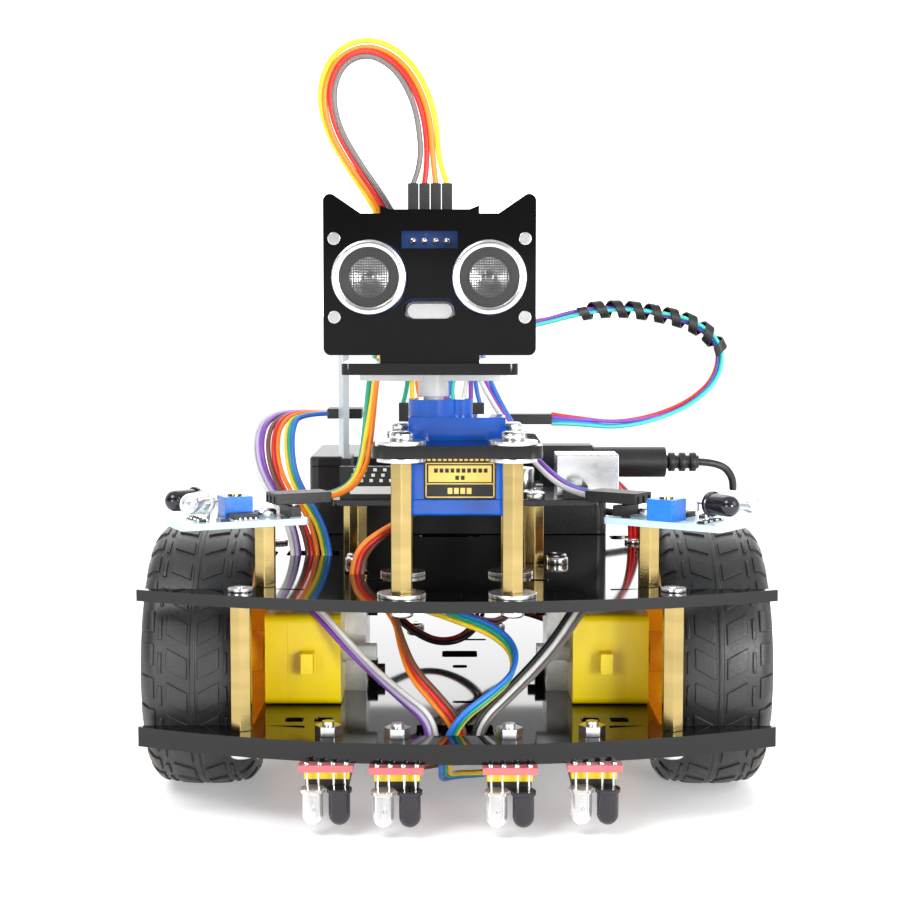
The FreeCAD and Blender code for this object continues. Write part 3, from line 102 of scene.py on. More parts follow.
M = {
    "acrylic": material("black_acrylic", (0.003, 0.003, 0.0035), 0.06, grain=60, bump=0.015, IOR=1.5,
                        Specular_IOR_Level=0.4),
    "face": material("face_acrylic", (0.003, 0.003, 0.003), 0.06, grain=60, bump=0.01, IOR=1.4,
                     Specular_IOR_Level=0.3),
    "brass": material("turned_brass", (0.44, 0.33, 0.13), 0.18, 1.0, grain=500, bump=0.04, stretch=(1, 1, 7)),
    "steel": material("zinc_steel", (0.72, 0.72, 0.73), 0.24, 1.0, grain=700, bump=0.08),
    "dark_steel": material("black_screw", (0.03, 0.03, 0.032), 0.35, 0.6, grain=900, bump=0.1),
    "aluminium": material("bare_aluminium", (0.78, 0.78, 0.77), 0.32, 1.0, vary=0.25, grain=2600, bump=0.35),
    "can": material("drawn_can", (0.78, 0.78, 0.78), 0.24, 1.0, vary=0.08, grain=500, bump=0.05,
                    stretch=(1, 6, 1)),
    "yellow": material("yellow_plastic", (0.93, 0.7, 0.0), 0.32, vary=0.06, grain=1200, bump=0.06),
    "orange_rim": material("rim_plastic", (0.95, 0.46, 0.01), 0.28, vary=0.1, grain=1200, bump=0.08),
    "white": material("white_nylon", (0.62, 0.63, 0.62), 0.38, grain=1100, bump=0.08, Subsurface_Weight=0.1),
    "tyre": material("tyre_rubber", (0.013, 0.013, 0.0135), 0.42, vary=0.3, grain=1500, bump=0.3, IOR=1.55),
    "clear": material("clear_plastic", (0.93, 0.95, 0.96), 0.08, grain=200, bump=0.02,
                      Transmission_Weight=0.85),
    "bulb": material("water_clear_epoxy", (0.96, 0.97, 1.0), 0.05, grain=120, bump=0.01,
                     Transmission_Weight=0.8),
    "dark_bulb": material("smoked_epoxy", (0.012, 0.01, 0.016), 0.08, grain=120, bump=0.01, IOR=1.55),
    "blue": material("servo_blue", (0.01, 0.17, 0.92), 0.08, vary=0.35, grain=420, bump=0.03,
                     Transmission_Weight=0.4, IOR=1.5),
    "trim_blue": material("trimmer_blue", (0.0, 0.17, 0.7), 0.28, vary=0.06, grain=900, bump=0.05),
    "black": material("moulded_black", (0.008, 0.008, 0.0085), 0.45, vary=0.3, grain=1800, bump=0.25),
    "satin_black": material("box_black", (0.006, 0.006, 0.0065), 0.36, vary=0.3, grain=2200, bump=0.3),
    "board": material("dark_solder_mask", (0.007, 0.008, 0.011), 0.24, vary=0.4, grain=500, bump=0.1),
    "blue_board": material("sensor_board", (0.01, 0.05, 0.22), 0.24, vary=0.3, grain=500, bump=0.1),
    "red_board": material("red_solder_mask", (0.5, 0.12, 0.13), 0.3, vary=0.2, grain=500, bump=0.08),
    # obstacle boards: partly their own blue solder mask, lightened towards white as a painted reflection of the
    # glare on their glossy tops
    "board_blue_with_painted_glare": material("solder_mask_with_painted_glare", (0.5, 0.68, 0.76), 0.22, vary=0.12, grain=500, bump=0.05),
    "lemon": material("header_yellow", (0.85, 0.66, 0.02), 0.4, grain=900, bump=0.08),
    "white_board": material("white_solder_mask", (0.46, 0.51, 0.53), 0.3, vary=0.08, grain=500, bump=0.05),
    "solder": material("solder", (0.78, 0.78, 0.77), 0.2, 1.0, vary=0.2, grain=1500, bump=0.25),
    "silk": material("silk_print", (0.88, 0.88, 0.86), 0.55, vary=0.1, grain=1500, bump=0.1),
    "gold": material("gold_print", (0.83, 0.6, 0.16), 0.3, 0.7, grain=900, bump=0.05),
    "mesh": material("wire_gauze", (0.09, 0.09, 0.09), 0.35, 0.9, grain=900, bump=0.1),
}

WIRES = {
    "red": (0.66, 0.015, 0.012), "orange": (0.88, 0.22, 0.01), "yellow": (0.9, 0.62, 0.02),
    "brown": (0.16, 0.06, 0.03), "blue": (0.02, 0.16, 0.6), "teal": (0.01, 0.33, 0.2),
    "aqua": (0.05, 0.55, 0.45), "purple": (0.22, 0.06, 0.42),
    "lavender": (0.5, 0.42, 0.66), "white": (0.72, 0.72, 0.7), "grey": (0.17, 0.15, 0.14),
    "ink": (0.015, 0.015, 0.016), "dark_red": (0.3, 0.01, 0.01),
}
WIRE = {n: material("wire_" + n, c, 0.36, vary=0.1, grain=1500, bump=0.1) for n, c in WIRES.items()}


# ------------------------------------------------------------------ building

def made(name, bm, mats, body, bevel=0.0, segments=2, subdivide=0, smooth=True, limit=32.0):
    mesh = bpy.data.meshes.new(name)
    bm.to_mesh(mesh)
    bm.free()
    for mat in mats if isinstance(mats, (list, tuple)) else [mats]:
        mesh.materials.append(mat)
    obj = bpy.data.objects.new(name, mesh)
    bpy.context.scene.collection.objects.link(obj)
    if smooth:
        mesh.shade_smooth()
        mesh.set_sharp_from_angle(angle=math.radians(40))
    if bevel:
        edge = obj.modifiers.new("edges", "BEVEL")
        edge.width = bevel * MM
        edge.segments = segments
        edge.limit_method = "ANGLE"
        edge.angle_limit = math.radians(limit)
        edge.use_clamp_overlap = True
        obj.modifiers.new("normals", "WEIGHTED_NORMAL").keep_sharp = False
    if subdivide:
        obj.modifiers.new("round", "SUBSURF").levels = subdivide
        obj.modifiers["round"].render_levels = subdivide
    if body:
        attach(obj, body)
    return obj


def refined(name, mat, body="chassis", bevel=0.2, segments=2):
    """The CAD shape with softened edges, standing for its node."""
    bm = bmesh.new()
    bm.from_mesh(nodes[name].data)
    bmesh.ops.remove_doubles(bm, verts=bm.verts, dist=1e-6)
    bmesh.ops.dissolve_limit(bm, angle_limit=math.radians(0.5), verts=bm.verts, edges=bm.edges)
    for face in bm.faces:
        face.material_index = 0
        face.smooth = True
    obj = made(name + "_finished", bm, mat, body, bevel, segments)
    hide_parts(name)
    return obj


def box(bm, x, y, z, move=Matrix(), index=0):
    """A box from (low, high) pairs in millimetres, moved by a matrix that is in metres."""
    corners = [move @ at(a, b, c) for a in x for b in y for c in z]
    v = [bm.verts.new(c) for c in corners]
    for ids in ((0, 1, 3, 2), (4, 6, 7, 5), (0, 4, 5, 1), (2, 3, 7, 6), (0, 2, 6, 4), (1, 5, 7, 3)):
        bm.faces.new([v[i] for i in ids]).material_index = index


def spun(bm, profile, place, steps=28, index=0):
    """Turns (radius, along) pairs about the place matrix's Z axis; a zero radius closes an end."""
    rings = []
    for radius, along in profile:
        if radius < 1e-6:
            rings.append([bm.verts.new(place @ Vector((0, 0, along * MM)))])
            continue
        turn = [2 * math.pi * k / steps for k in range(steps)]
        spots = [Vector((radius * math.cos(t) * MM, radius * math.sin(t) * MM, along * MM)) for t in turn]
        rings.append([bm.verts.new(place @ spot) for spot in spots])
    for low, high in zip(rings, rings[1:]):
        for k in range(steps):
            n = (k + 1) % steps
            quad = [low[k % len(low)], low[n % len(low)], high[n % len(high)], high[k % len(high)]]
            corners = list(dict.fromkeys(quad))
            if len(corners) > 2:
                bm.faces.new(corners).material_index = index


def facing(x, y, z, axis):
    """A frame at a point, its Z axis along the given direction."""
    turn = Vector((0, 0, 1)).rotation_difference(Vector(axis)).to_matrix().to_4x4()
    return Matrix.Translation(at(x, y, z)) @ turn


# ------------------------------------------------------------------ wires

def centreline(points):
    """Points read along a smooth curve whose control points are the route."""
    curve = bpy.data.curves.new("route", "CURVE")
    curve.dimensions = "3D"
    curve.resolution_u = 10
    spline = curve.splines.new("NURBS")
    spline.points.add(len(points) - 1)
    for point, spot in zip(spline.points, points):
        point.co = tuple(at(*spot)) + (1,)
    spline.use_endpoint_u = True
    spline.order_u = 3
    holder = bpy.data.objects.new("route", curve)
    mesh = bpy.data.meshes.new_from_object(holder)
    line = [v.co.copy() for v in mesh.vertices]
    bpy.data.objects.remove(holder)
    bpy.data.meshes.remove(mesh)
    return line


WIRE_SIDES = 10         # faces round each wire
SPREAD_OVER = 9         # the length over which wires spread to the pitch of a housing, mm
EASE_OVER = 14          # the length over which the small waves in a wire fade in, mm


def turned(vector, axis, angle):
    return Matrix.Rotation(angle, 3, axis) @ vector


def ribbon(name, points, colors, first=None, last=None, width=1.25, core=1.3, ends=(PITCH, PITCH),
           body="chassis", bend=None):
    """Wires side by side, spread to a housing's pitch at their ends; first and last are how they lie there."""
    line = centreline(points)
    tangents = [(b - a).normalized() for a, b in zip(line, line[1:])]
    tangents.append(tangents[-1])
    travel = [0.0]
    for a, b in zip(line, line[1:]):
        travel.append(travel[-1] + (b - a).length)
    whole = travel[-1]
    side = Vector(first or (1, 0, 0))
    side = (side - side.dot(tangents[0]) * tangents[0]).normalized()
    sides = [side]
    for before, after in zip(tangents, tangents[1:]):
        side = before.rotation_difference(after) @ side
        side = (side - side.dot(after) * after).normalized()
        sides.append(side)
    if last:
        goal = Vector(last)
        goal = (goal - goal.dot(tangents[-1]) * tangents[-1]).normalized()
        miss = sides[-1].angle(goal) * (1 if sides[-1].cross(goal).dot(tangents[-1]) > 0 else -1)
        sides = [turned(s, t, miss * d / whole) for s, t, d in zip(sides, tangents, travel)]
    bm = bmesh.new()
    count = len(colors)
    for strand in range(count):
        phase = random.uniform(0, 6.28)
        rings = []
        for spot, way, across, gone in zip(line, tangents, sides, travel):
            up = way.cross(across)
            near, far = gone / MM, (whole - gone) / MM
            spread = width + (ends[0] - width) * max(0, 1 - near / SPREAD_OVER) ** 2
            spread += (ends[1] - width) * max(0, 1 - far / SPREAD_OVER) ** 2
            ease = min(1, near / EASE_OVER, far / EASE_OVER)
            lift = 0.32 * ease * math.sin(near * 0.11 + phase)
            drift = 0.16 * ease * math.sin(near * 0.07 + 2 * phase)
            centre = spot + across * ((strand - (count - 1) / 2) * spread + drift) * MM + up * lift * MM
            ring = []
            for k in range(WIRE_SIDES):
                t = 2 * math.pi * k / WIRE_SIDES
                ring.append(bm.verts.new(centre + (across * math.cos(t) + up * math.sin(t)) * core / 2 * MM))
            rings.append(ring)
        for low, high in zip(rings, rings[1:]):
            for k in range(WIRE_SIDES):
                n = (k + 1) % WIRE_SIDES
                face = bm.faces.new([low[k], low[n], high[n], high[k]])
                face.material_index = strand
        for ring, flip in ((rings[0], True), (rings[-1], False)):
            bm.faces.new(list(reversed(ring)) if flip else ring).material_index = strand
    obj = made(name + "_wires", bm, [WIRE[c] for c in colors], body)
    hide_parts(name)
    if bend:
        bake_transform(obj)
    return line


LINE_X = [-29.8, -13.7, 12.0, 31.3]


def line_front(x):
    return 125.0 - math.sqrt(175.0 ** 2 - x ** 2) - 3.0


def line_end(index):
    return (LINE_X[index], line_front(LINE_X[index]) + 18.9, 11.4)


SENSOR = {-1: math.radians(205.0), 1: math.radians(-36.0)}


def plug_end(side):
    return (side * 45.5 - 15.5 * math.cos(SENSOR[side]), -27.5 - 15.5 * math.sin(SENSOR[side]), 75.1)


def plug_row(side):
    """The way the three wires lie side by side in a corner sensor's housing."""
    return (-math.sin(SENSOR[side]), math.cos(SENSOR[side]), 0)


ribbon("head_cable", [
    (-6.1, -41.75, 148), (-6.1, -41.5, 157.5), (-7.8, -41, 167), (-12.4, -40, 175), (-19.6, -38, 179.2),
    (-26.8, -36.5, 177), (-30.2, -35.5, 169.5), (-28.6, -35, 160.5), (-23.4, -34, 152), (-17.6, -31.5, 144),
    (-13.8, -25.5, 136), (-11.4, -16, 129), (-10, -3.5, 124), (-9.2, 10, 121.6), (-8.6, 24, 119),
    (-7.2, 37, 115.6), (-5.4, 48, 111.6), (-4.4, 57, 107.4), (-4.2, 59.7, 100.6), (-4.2, 59.8, 93.6),
], ["grey", "red", "orange", "yellow"], (1, 0, 0), (-1, 0, 0), body=None,
    bend=("head", "chassis", tuple(at(-14, -24, 130)), tuple(at(-4.4, 50, 112))))
loop_line = ribbon("loop_cable", [
    (24.5, 11.5, 91.6), (32, 12, 91), (41.5, 15, 89.9), (52, 19, 91.2), (62, 22.5, 94.8),
    (69.3, 25, 101.3), (70.4, 26, 110.2), (63.2, 26.3, 116.4), (53, 26, 118.9), (43, 25.4, 120.2),
    (32.5, 24.3, 119.3), (22, 22.3, 116.4), (12, 20.3, 114.6), (3.6, 18.2, 111), (-2, 14, 104.2),
    (-3.4, 11.5, 93.3),
], ["aqua", "blue", "purple", "red"], (0, 0.6, 0.8), (-1, 0, 0), width=0.75, core=1.0, ends=(1.0, 2.4))
ribbon("obstacle_cable_left", [
    plug_end(-1), (-26.6, -18.6, 75.9), (-23.2, -14.2, 81.2), (-22.1, -8.6, 89.2),
    (-21.3, -2.6, 97.3), (-20.6, 4.6, 104.6), (-19.6, 13.5, 109.6), (-18, 24, 111.8),
    (-15.8, 35, 110.8), (-13.8, 45.5, 109), (-12.8, 54.6, 107.4), (-12.6, 59.4, 101.6),
    (-12.6, 59.8, 93.3),
], ["teal", "yellow", "orange"], plug_row(-1), (1, 0, 0))
ribbon("obstacle_cable_right", [
    plug_end(1), (28.2, -14.8, 75.8), (23.6, -10.8, 78.8), (19, -6, 83.2),
    (14.6, -1, 89), (10.4, 4, 95.4), (7.2, 9.8, 101.4), (6, 17.4, 106.2), (5.4, 26.8, 109.2),
    (4.9, 37, 109.4), (4.4, 46.5, 108), (4.2, 55, 107), (4.2, 59.4, 101.4),
    (4.2, 59.8, 93.3),
], ["white", "purple", "blue"], plug_row(1), (1, 0, 0))
ribbon("line_cable_1", [
    line_end(0), (-29.8, -23.5, 11.4), (-24, -17.4, 11.4), (-15, -16.5, 11.4), (-8.5, -21, 12),
    (-6, -28, 12.2), (-5.8, -33.6, 16.6), (-6.6, -33.8, 23.4), (-12.6, -28.4, 27.2), (-20.4, -21.5, 32.6),
    (-27.5, -17.8, 39), (-34, -13.4, 45.4), (-39.6, -4.8, 48.2), (-42.4, 5, 48.2), (-42.8, 15, 47.9),
    (-42.9, 24, 48.6), (-43, 29.6, 54), (-45, 30.6, 62.5), (-49.5, 31.6, 69.5), (-53.5, 34, 76.5),
    (-55, 38.5, 83.5), (-54.2, 45.5, 88.5), (-50.5, 53, 90.6), (-43.8, 57.1, 90.8), (-36.2, 57.2, 90.7),
], ["white", "lavender", "purple"], (1, 0, 0), (0, -1, 0), ends=(PITCH, 1.25))
ribbon("line_cable_2", [
    line_end(1), (-13.5, -26.4, 10.4), (-8.6, -21.4, 9), (-2, -21.8, 10.4), (1.6, -27.8, 11.8),
    (1.5, -34.2, 16.6), (0, -35.8, 23), (-5, -33.8, 28.6), (-10.4, -30.4, 33.8), (-13.2, -26, 39.8),
    (-15, -20, 45.4), (-19.6, -12.6, 48.6), (-26, -5.6, 48.9), (-33, 1, 48.6), (-37.6, 8.6, 48.1),
    (-38.4, 17, 48.1), (-38.6, 24.4, 48.8), (-38.8, 29.6, 54), (-40.8, 30.5, 62.2), (-45.2, 31.3, 69),
    (-49, 33.6, 75.8), (-50.4, 38, 82.6), (-50, 44.5, 87.6), (-47.4, 50.4, 90.2), (-42.4, 54.1, 90.8),
    (-36.2, 54.2, 90.7),
], ["brown", "red", "orange"], (1, 0, 0), (0, -1, 0), ends=(PITCH, 1.25))
ribbon("line_cable_3", [
    line_end(2), (12, -26.2, 9.8), (7, -19.4, 7), (0, -18.4, 6.4), (-2.8, -25, 7.4),
    (-2.6, -31.4, 11.4), (-2.5, -37.4, 17), (0.8, -40.6, 25), (7.6, -38.6, 30), (13, -33.6, 34),
    (13.6, -27.6, 39), (8.4, -22.8, 43), (1, -18.4, 45), (-6, -13.5, 46.6), (-14, -8.5, 47.6),
    (-22, -4, 48.4), (-29, 1.5, 48.6), (-33.2, 9, 48.2), (-34, 17.4, 48.1), (-34.2, 24.4, 48.8),
    (-34.5, 29.6, 54), (-36.5, 30.4, 62), (-40.8, 31, 68.4), (-44.6, 33.2, 75), (-46, 37.4, 81.6),
    (-46.2, 43, 87), (-44.6, 48.6, 90.4), (-36.2, 51.2, 90.7),
], ["yellow", "teal", "blue"], (1, 0, 0), (0, -1, 0), ends=(PITCH, 1.25))
ribbon("line_cable_4", [
    line_end(3), (31.2, -23.5, 11.4), (25.5, -17.4, 11.4), (16.5, -16.4, 11.4), (9.4, -21, 11.6),
    (4.9, -28, 12), (4.3, -33.6, 16.6), (5.8, -33.6, 23.2), (12, -28.8, 28), (19, -24, 34),
    (24.6, -19.6, 39.6), (29, -14, 45), (33, -5.4, 48.2), (36.6, 5, 48.3), (38.8, 17, 47.8),
    (41, 30, 47.2), (43.8, 42.4, 46.8), (46.6, 52.6, 46.7), (48, 60.4, 48.4), (48.2, 62, 54.4),
], ["grey", "white", "ink"], (1, 0, 0), ends=(PITCH, 1.25))
ribbon("supply_cable", [
    (51.6, 62, 53), (51.4, 61, 60), (49.4, 56.6, 66), (46.2, 50.4, 70), (42.6, 44.6, 72.6), (36.5, 42, 73.4),
], ["red", "red", "dark_red"], (1, 0, 0), (0, 1, 0), ends=(1.25, 1.8))
ribbon("servo_cable", [
    (-8.4, -17.8, 73.6), (-8.2, -11.6, 73.2), (-8.3, -5.4, 70.6), (-12.6, -2, 67),
    (-18, -2.4, 64), (-22.8, -4.2, 60.6), (-25, -6.6, 56.4), (-25, -7, 51),
], ["orange", "red", "brown"], (0, 0, 1), (1, 0, 0), ends=(1.25, 1.25))
ribbon("motor_lead_left", [
    (-38.2, 53.5, 40), (-37.8, 61, 40.2), (-32.4, 67, 39), (-24.8, 68.2, 35.6), (-17.8, 64.4, 31),
    (-11.8, 57.6, 27.4), (-5, 50.6, 25.6), (2.2, 47, 27.6), (6.8, 50.4, 32.6), (7.2, 57, 38),
    (3.4, 62.4, 43), (-2.4, 64.6, 47.4), (-3.6, 65, 53),
], ["ink", "dark_red"], (0, 0, 1), width=1.3, ends=(1.3, 1.3))
ribbon("motor_lead_right", [
    (38.2, 53.5, 26), (37.4, 61.4, 26), (31.8, 67.6, 27), (24, 68.4, 30.2), (17, 64.2, 33),
    (13.4, 56.6, 31.6), (9.6, 48, 31.4), (3, 41.8, 34.4), (-4.8, 41.6, 37.8), (-9.2, 47.6, 41.4),
    (-6.6, 55, 44.4), (-2, 61.2, 46.4), (3.6, 64.8, 48.6), (4.6, 65, 54),
], ["ink", "red"], (0, 0, 1), width=1.3, ends=(1.3, 1.3))
ribbon("power_lead", [
    (68.8, 54.8, 76.7), (75, 54.9, 76.6), (79.2, 56.5, 72.4), (79.4, 59.5, 66.2), (75.6, 63, 61.6),
    (69.5, 66.5, 58.8), (62, 70, 58), (53.5, 72.2, 59), (44.1, 72.6, 60.5),
], ["ink"], (0, 1, 0), core=2.2, ends=(0, 0))


def spiral_wrap(line, start, end, radius, pitch):
    """A black plastic strip wound round the loop of wires."""
    bm = bmesh.new()
    travel, rings = 0.0, []
    for a, b in zip(line, line[1:]):
        way = (b - a).normalized()
        steps = 14
        for k in range(steps):
            gone = travel + (b - a).length * k / steps
            if not start <= gone / MM <= end:
                continue
            across = (Vector((0, 1, 0)) - way.y * way).normalized()
            out = turned(across, way, 2 * math.pi * gone / MM / pitch)
            spot = a.lerp(b, k / steps)
            section = ((radius, -1.3), (radius + 0.4, -1.2), (radius + 0.4, 1.2), (radius, 1.3))
            rings.append([bm.verts.new(spot + out * r * MM + way * w * MM) for r, w in section])
        travel += (b - a).length
    for low, high in zip(rings, rings[1:]):
        for k in range(4):
            bm.faces.new([low[k], low[(k + 1) % 4], high[(k + 1) % 4], high[k]])
    bm.faces.new(list(reversed(rings[0])))
    bm.faces.new(rings[-1])
    return made("spiral_wrap", bm, M["black"], "chassis")


# ------------------------------------------------------------------ CAD shapes with softened edges

# node, material, slot, body and the width of its softened edges in millimetres
SOFTENED = (
    ("bottom_plate", "acrylic", "black_acrylic", "chassis", 0.2),
    ("top_plate", "acrylic", "black_acrylic", "chassis", 0.2),
    ("servo_plate", "acrylic", "black_acrylic", "chassis", 0.2),
    ("head_base", "acrylic", "black_acrylic", "head", 0.2),
    ("face_panel", "face", "black_acrylic", "head", 0.2),
    ("long_spacers", "brass", "brass", "chassis", 0.15),
    ("short_spacers", "brass", "brass", "chassis", 0.15),
    ("chassis_screws", "steel", "steel", "chassis", 0.12),
    ("gear_case_left", "yellow", "yellow_plastic", "chassis", 0.3),
    ("gear_case_right", "yellow", "yellow_plastic", "chassis", 0.3),
    ("gear_covers", "yellow", "yellow_plastic", "chassis", 0.3),
    ("motors", "steel", "steel", "chassis", 0.2),
    ("motor_straps", "clear", "clear_plastic", "chassis", 0.15),
    ("motor_brackets", "aluminium", "bare_aluminium", "chassis", 0.25),
    ("motor_screws", "dark_steel", "black_steel", "chassis", 0.12),
    ("caster_housing", "black", "black_plastic", "chassis", 0.2),
    ("hub_left", "orange_rim", "yellow_plastic", "wheel_left", 0.3),
    ("hub_right", "orange_rim", "yellow_plastic", "wheel_right", 0.3),
    ("output_gear_left", "white", "white_plastic", "wheel_left", 0.12),
    ("output_gear_right", "white", "white_plastic", "wheel_right", 0.12),
    ("servo_case", "blue", "blue_plastic", "chassis", 0.3),
    ("servo_covers", "blue", "blue_plastic", "chassis", 0.3),
    ("servo_horn", "white", "white_plastic", "head", 0.3),
    ("head_screws", "steel", "steel", "head", 0.15),
    ("head_plug", "black", "black_plastic", "head", 0.15),
    ("ultrasonic_board", "blue_board", "dark_board", "head", 0.15),
    ("transducers", "can", "bare_aluminium", "head", 0.25),
    ("controller_board", "board", "dark_board", "chassis", 0.12),
    ("controller_parts", "black", "black_plastic", "chassis", 0.12),
    ("usb_socket", "can", "steel", "chassis", 0.2),
    ("reset_button", "white", "black_plastic", "button", 0.2),
    ("battery_box", "satin_black", "black_plastic", "chassis", 0.3),
    ("battery_lid", "satin_black", "black_plastic", "chassis", 0.2),
    ("power_switch", "black", "black_plastic", "switch", 0.2),
    ("battery_cells", "blue", "steel", "chassis", 0.4),
    ("wireless_module", "white_board", "white_plastic", "chassis", 0.12),
    ("obstacle_boards", "board_blue_with_painted_glare", "dark_board", "chassis", 0.12),
    ("trimmers", "trim_blue", "blue_plastic", "chassis", 0.2),
    ("trimmer_screw_left", "brass", "brass", "trimmer_left", 0.1),
    ("trimmer_screw_right", "brass", "brass", "trimmer_right", 0.1),
    ("line_boards", "red_board", "red_board", "chassis", 0.12),
    ("cable_plugs", "black", "black_plastic", "chassis", 0.2),
    ("power_plug", "black", "black_plastic", "chassis", 0.25),
    ("caster_ball", "steel", "steel", "caster", 0.0),
)
for name, mat, slot, body, bevel in SOFTENED:
    refined(name, M[mat], body, bevel)


# ------------------------------------------------------------------ tyres

MID = 62.5              # middle of a wheel, from the middle of the car
PITCHES = 25            # repeats of the tread


def tread(offset):
    d = abs(offset)
    return 33.0 - 0.9 * (d / 9.5) ** 2 if d < 9.5 else 32.1 - 3.1 * min(1.0, (d - 9.5) / 3.4) ** 2


def on_tyre(side, offset, radius, turn):
    return at(side * (MID + offset), radius * math.sin(turn), 33 + radius * math.cos(turn))


def lug(bm, side, edges, low, high, skew):
    """One raised block: edges are its two offsets from the middle, low and high its turn in pitches."""
    pitch = 2 * math.pi / PITCHES
    across, along = 5, 3
    grid = []
    for i in range(across + 1):
        share = i / across
        offset = edges[0] + (edges[1] - edges[0]) * share
        row = []
        for j in range(along + 1):
            turn = pitch * (low + (high - low) * j / along + skew * share)
            row.append((bm.verts.new(on_tyre(side, offset, tread(offset), turn)),
                        bm.verts.new(on_tyre(side, offset, tread(offset) - 1.5, turn))))
        grid.append(row)
    for i in range(across):
        for j in range(along):
            bm.faces.new([grid[i][j][0], grid[i + 1][j][0], grid[i + 1][j + 1][0], grid[i][j + 1][0]])
    rim = [(i, 0) for i in range(across)] + [(across, j) for j in range(along)]
    rim += [(i, along) for i in range(across, 0, -1)] + [(0, j) for j in range(along, 0, -1)]
    for (a, b), (c, d) in zip(rim, rim[1:] + rim[:1]):
        bm.faces.new([grid[a][b][0], grid[a][b][1], grid[c][d][1], grid[c][d][0]])


for side, word in ((-1, "left"), (1, "right")):
    bm = bmesh.new()
    turn = Matrix.Rotation(math.radians(90), 4, "Y")
    place = Matrix.Translation(at(0, 0, 33)) @ turn
    profile = [(26.0, 51.2), (27.2, 51.2), (27.4, 49.6), (28.6, 49.7), (29.1, 50.1), (30.3, 51.0)]
    profile += [(tread(x) - 0.45, MID + x) for x in (-10.4, -9.2, -7.5, -5, -2.5, -0.7)] + [(32.85, MID - 0.45)]
    back = [(r, 2 * MID - x) for r, x in reversed(profile)]
    full = [(r, side * x) for r, x in profile + back]
    spun(bm, full + [full[0]], place, steps=104)
    for step in range(PITCHES):
        for half in (-1, 1):
            lug(bm, side, (half * 1.3, half * 6.2), step - 0.3, step + 0.3, 0.32)
            lug(bm, side, (half * 7.4, half * 8.2), step - 0.12, step + 0.5, 0.0)
            lug(bm, side, (half * 9.3, half * 12.7), step + 0.1, step + 0.74, 0.08)
    bmesh.ops.recalc_face_normals(bm, faces=bm.faces)
    obj = made("tyre_tread_" + word, bm, M["tyre"], "wheel_" + word, 0.16, 2, limit=40)
    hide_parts("tyre_" + word)


# ------------------------------------------------------------------ LEDs

def bulb(bm, place, index):
    dome = [(2.5 * math.cos(a), -6.1 - 2.5 * math.sin(a)) for a in [math.radians(k) for k in range(0, 90, 12)]]
    flange = [(0, 0), (2.75, 0), (2.9, -0.15), (2.9, -0.9), (2.75, -1.0), (2.5, -1.05)]
    spun(bm, flange + dome + [(0, -8.6)], place, 28, index)


def leads(bm, place, length, drop=0.0, index=0):
    for x in (-1.27, 1.27):
        leg = place @ Matrix.Translation(Vector((x, 0, 0)) * MM)
        spun(bm, [(0, -0.2), (0.28, -0.2), (0.3, length), (0, length)], leg, 8, index)
        if drop:
            down = leg @ Matrix.Translation(Vector((0, 0, length - 0.2)) * MM)
            down @= Matrix.Rotation(math.radians(-90), 4, "X")
            spun(bm, [(0, -0.3), (0.3, -0.3), (0.3, drop), (0, drop)], down, 8, index)
    cup = place @ Matrix.Translation(Vector((0.4, 0, -4.6)) * MM)
    post = [(0, 0.9), (0.35, 0.9), (0.35, -0.4), (0.9, -1.0), (0.7, -1.1), (0.2, -0.6), (0, -0.6)]
    spun(bm, post, cup, 12, index)


def sensor_place(side):
    """The frame of a corner sensor, at floor height under its mounting screw."""
    return Matrix.Translation(at(side * 45.5, -27.5, 0)) @ Matrix.Rotation(SENSOR[side], 4, "Z")


clear, dark, legs = bmesh.new(), bmesh.new(), bmesh.new()
for side, start, swings in ((-1, 15.6, (20.0, 40.0)), (1, 18.0, (-21.0, 11.0))):
    for offset, swing in zip((-3.4, 3.4), swings):
        place = sensor_place(side) @ Matrix.Translation(Vector((start, offset, BOARD + 4.6)) * MM)
        place @= Matrix.Rotation(math.radians(swing), 4, "Z") @ Matrix.Rotation(math.radians(-90), 4, "X")
        place @= Matrix.Rotation(math.radians(-90), 4, "Y")
        bulb(clear if offset > 0 else dark, place, 0)
        leads(legs, place, 3.2, 4.6)
for x in LINE_X:
    for dx in (-3.0, 3.0):
        place = Matrix.Translation(at(x + dx, line_front(x) + 1.7, 11.3))
        bulb(clear if dx < 0 else dark, place, 0)
        leads(legs, place, 3.9)
pieces = [made("clear_bulbs", clear, M["bulb"], "chassis"),
          made("smoked_bulbs", dark, M["dark_bulb"], "chassis"),
          made("bulb_leads", legs, M["solder"], "chassis")]
for piece in pieces:
    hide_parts("sensor_leds")


# ------------------------------------------------------------------ small details

def dots(name, spots, radius, height, mat, body="chassis", axis=(0, 0, 1)):
    bm = bmesh.new()
    for spot in spots:
        spun(bm, [(radius, 0), (radius * 0.92, height * 0.45), (radius * 0.5, height * 0.9), (0, height)],
             facing(*spot, axis), 14)
    return made(name, bm, mat, body)


def chips(name, boxes, mat, body="chassis", bevel=0.08):
    bm = bmesh.new()
    for x, y, z in boxes:
        box(bm, x, y, z)
    return made(name, bm, mat, body, bevel)


spiral_wrap(loop_line, 57, 98, 1.95, 5.0)
joints = [(x + dx, line_front(x) + 1.5, 16.8) for x in LINE_X for dx in (-4.5, -1.5, 1.5, 4.5)]
dots("line_board_solder", joints, 0.8, 0.7, M["solder"])
pins = [(-6.1 + (k - 1.5) * PITCH, -44.6, 135.0) for k in range(4)]
dots("head_board_solder", pins, 0.85, 0.8, M["solder"], "head", axis=(0, -1, 0))
dots("controller_solder", [(-14 + PITCH * k, 9.9, 70.8) for k in range(12)], 0.5, 0.3, M["solder"])
